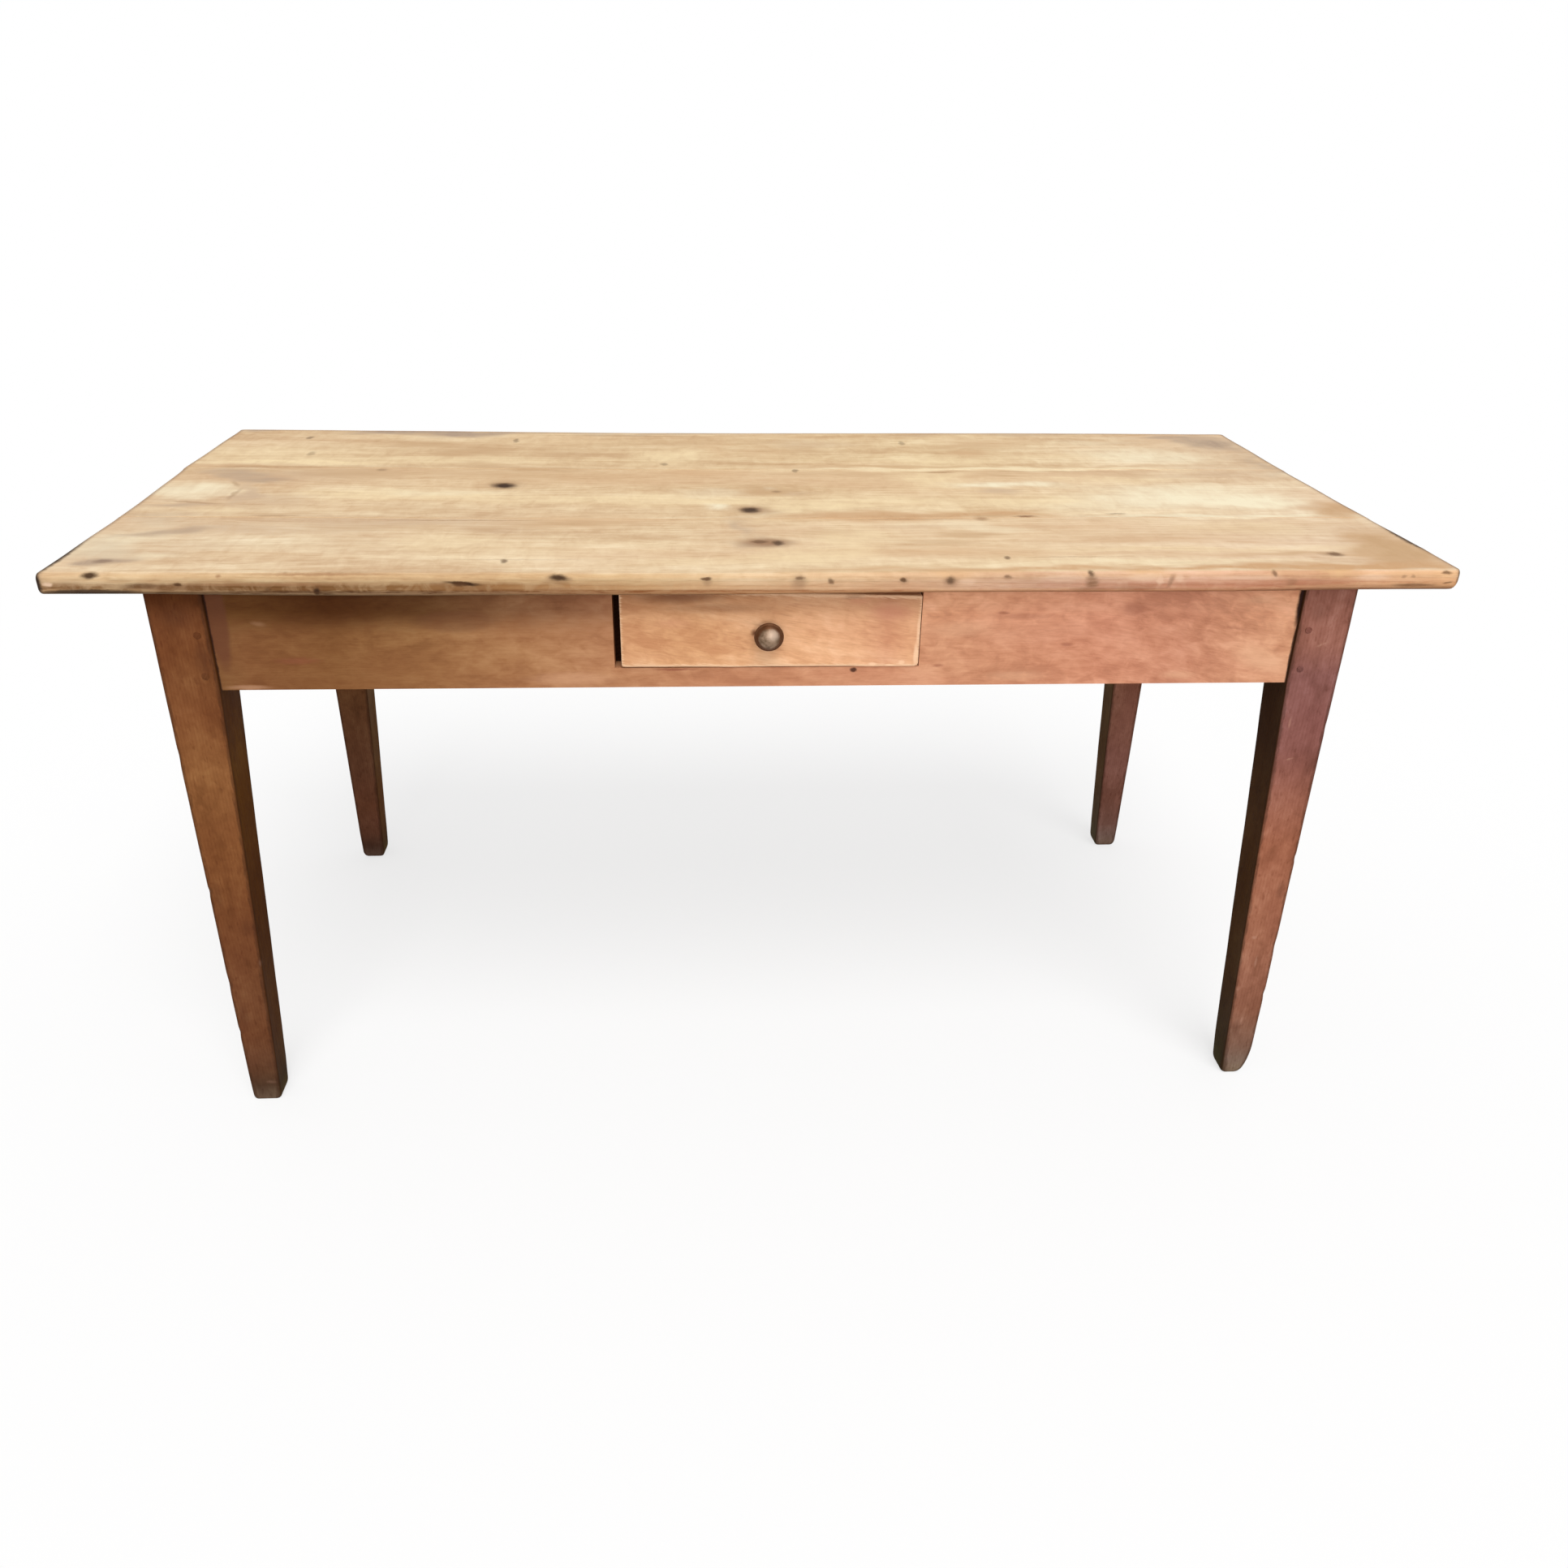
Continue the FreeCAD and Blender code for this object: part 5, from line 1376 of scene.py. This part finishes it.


# Painted highlight high on the dome; painted shade round the rim and the lower dome, and dirt on the neck and
# the base.
def brassMaterial():
    material, tree = newMaterial("agedBrass")
    place = add(tree, "ShaderNodeTexCoord").outputs["Object"]
    out = add(tree, "ShaderNodeAttribute", attribute_name="arris").outputs["Fac"]
    cloud = noise(tree, place, (130, 130, 130), 3.0, 0.6)
    specks = noise(tree, place, (600, 600, 600), 2.0, 0.6)
    colour = blend(tree, spread(tree, cloud, 0.36, 0.64), brass["dull"], brass["bright"])
    colour = blend(tree, spread(tree, specks, 0.60, 0.74, 0.0, 0.35), colour, brass["dark"])
    # painted highlight: a bright spot at the dome's upper right
    colour = blend(tree, spots(tree, place, [brass["paintedHighlightAt"]], 0.1), colour, brass["wearAndHighlight"])
    # painted shade round the rim and the lower dome, and dirt on the neck and the base
    shadeAndDirt = spread(tree, calc(tree, "MULTIPLY_ADD", cloud, 0.08, out), 0.91, 0.79)
    colour = blend(tree, calc(tree, "MULTIPLY", shadeAndDirt, 0.9), colour, brass["dark"])
    gloss = spread(tree, cloud, 0.3, 0.7, *brass["rough"])
    height = calc(tree, "MULTIPLY_ADD", specks, 0.25, cloud)
    bump = add(tree, "ShaderNodeBump", {"Strength": 0.25, "Distance": 0.0005, "Height": height})
    shader = add(tree, "ShaderNodeBsdfPrincipled", {
        "Base Color": colour, "Roughness": gloss, "Metallic": 0.5, "Normal": bump.outputs[0],
        "Specular IOR Level": 0.2, "IOR": 1.5,
    })
    add(tree, "ShaderNodeOutputMaterial", {"Surface": shader.outputs[0]})
    return material


iron = {"steel": tone(92, 86, 80), "rust": tone(92, 58, 40), "rough": (0.5, 0.8)}


def ironMaterial():
    material, tree = newMaterial("darkIron")
    place = add(tree, "ShaderNodeTexCoord").outputs["Object"]
    cloud = noise(tree, place, (240, 240, 240), 4.0, 0.65)
    colour = blend(tree, spread(tree, cloud, 0.42, 0.6), iron["steel"], iron["rust"])
    gloss = spread(tree, cloud, 0.35, 0.65, *iron["rough"])
    bump = add(tree, "ShaderNodeBump", {"Strength": 0.4, "Distance": 0.0004, "Height": cloud})
    shader = add(tree, "ShaderNodeBsdfPrincipled", {
        "Base Color": colour, "Roughness": gloss, "Metallic": 0.8, "Normal": bump.outputs[0],
    })
    add(tree, "ShaderNodeOutputMaterial", {"Surface": shader.outputs[0]})
    return material


made["agedBrass"] = brassMaterial()
made["darkIron"] = ironMaterial()

# What each new piece and each carried-over node wears, by the start of its name
wears = {
    "board_": "topPine", "post_": "legWood", "pins_": "pegWood", "pull": "agedBrass",
    "drawer_face": "drawerWood", "apron_front": "longApronWood", "apron_back": "longApronWood",
    "apron_left": "endApronWood", "apron_right": "endApronWood", "top_spline": "pinePlainX",
    "top_buttons": "pinePlainY", "button_screws": "darkIron", "guide_nails": "darkIron",
    "drawer_bottom_nails": "darkIron", "knob_bolt": "darkIron", "knob_washer": "darkIron",
    "drawer_runner": "guidePine", "drawer_guide": "guidePine", "drawer_stop": "pinePlainX",
    "drawer_side": "pinePlainY", "drawer_back": "pinePlainX", "drawer_bottom": "bottomPine",
}


def dress(piece):
    starts = [start for start in wears if piece.name.startswith(start)]
    if not starts:
        return
    material = made[wears[max(starts, key=len)]]
    if not piece.material_slots:
        piece.data.materials.append(material)
    for place in piece.material_slots:
        place.material = material


for piece in list(bpy.context.scene.objects):
    if piece.type == "MESH":
        dress(piece)
print("pieces dressed")


# Camera, floor and light

viewFrom = {
    "place": (-0.0777, -1.7555, 1.2043),
    "turn": (62.801, -1.027, -3.534),      # degrees about x, y and z
    "lens": 29.34,
}


def makeCamera():
    data = bpy.data.cameras.new("camera")
    data.lens = viewFrom["lens"]
    data.sensor_width = 36.0
    camera = bpy.data.objects.new("camera", data)
    camera.location = viewFrom["place"]
    camera.rotation_euler = [math.radians(angle) for angle in viewFrom["turn"]]
    bpy.context.scene.collection.objects.link(camera)
    bpy.context.scene.camera = camera


room = {
    "floorHalf": 14.0,
    "fill": 0.50,            # sky that lights the object; the camera sees it white
    "floorSeen": 0.97,       # floor's tone to the camera
    "floorBounce": 0.45,     # floor's tone to the light that it throws back up
    "floorPlain": 0.70,      # share of the floor near the table that is plain white
    "fadeFrom": 1.2,         # floor runs out into plain white between these distances
    "fadeTo": 2.8,
    # broad soft suns: strength, softness in degrees, direction that it comes from
    "suns": {
        "high": (1.65, 34.0, (0.10, -0.50, 0.86)),
        "low": (1.20, 40.0, (0.05, -0.97, 0.22)),
    },
}


# 1 for rays that show the background: straight to the camera, mirrored or through glass.
def backgroundSeen(tree):
    path = add(tree, "ShaderNodeLightPath")
    seen = calc(tree, "MAXIMUM", path.outputs["Is Camera Ray"], path.outputs["Is Glossy Ray"])
    return calc(tree, "MAXIMUM", seen, path.outputs["Is Transmission Ray"])


# Floor that is lit and shaded near the table and plain white further off.
def floorMaterial():
    material, tree = newMaterial("paleFloor")
    seen = backgroundSeen(tree)
    shade = calc(tree, "MULTIPLY_ADD", seen, room["floorSeen"] - room["floorBounce"], room["floorBounce"])
    colour = add(tree, "ShaderNodeCombineColor", {0: shade, 1: shade, 2: shade})
    lit = add(tree, "ShaderNodeBsdfDiffuse", {"Color": colour.outputs[0]})
    plain = add(tree, "ShaderNodeEmission", {"Color": (1.0, 1.0, 1.0), "Strength": 1.0})
    place = add(tree, "ShaderNodeTexCoord").outputs["Object"]
    reach = calcVector(tree, "LENGTH", place)
    fade = spread(tree, reach, room["fadeFrom"], room["fadeTo"], room["floorPlain"], 1.0)
    faded = calc(tree, "MULTIPLY", fade, seen)
    mixed = add(tree, "ShaderNodeMixShader", {0: faded, 1: lit.outputs[0], 2: plain.outputs[0]})
    add(tree, "ShaderNodeOutputMaterial", {"Surface": mixed.outputs[0]})
    return material


def makeRoom():
    world = bpy.data.worlds.new("room")
    world.use_nodes = True
    tree = world.node_tree
    tree.nodes.clear()
    seen = backgroundSeen(tree)
    strength = calc(tree, "MULTIPLY_ADD", seen, 1 - room["fill"], room["fill"])
    sky = add(tree, "ShaderNodeBackground", {"Color": (1.0, 1.0, 1.0), "Strength": strength})
    add(tree, "ShaderNodeOutputWorld", {"Surface": sky.outputs[0]})
    bpy.context.scene.world = world

    half = room["floorHalf"]
    mesh = bpy.data.meshes.new("floor")
    corners = [(-half, -half, 0), (half, -half, 0), (half, half, 0), (-half, half, 0)]
    mesh.from_pydata(corners, [], [(0, 1, 2, 3)])
    mesh.materials.append(floorMaterial())
    floor = bpy.data.objects.new("floor", mesh)
    bpy.context.scene.collection.objects.link(floor)

    for name, (energy, soft, toLight) in room["suns"].items():
        data = bpy.data.lights.new(name, "SUN")
        data.energy = energy
        data.angle = math.radians(soft)
        lamp = bpy.data.objects.new(name, data)
        lamp.rotation_euler = (
            math.atan2(math.hypot(toLight[0], toLight[1]), toLight[2]),
            0.0,
            math.atan2(toLight[0], -toLight[1]),
        )
        bpy.context.scene.collection.objects.link(lamp)
    bpy.context.scene.view_settings.view_transform = "Standard"


makeCamera()
makeRoom()
print("camera, floor and light made")
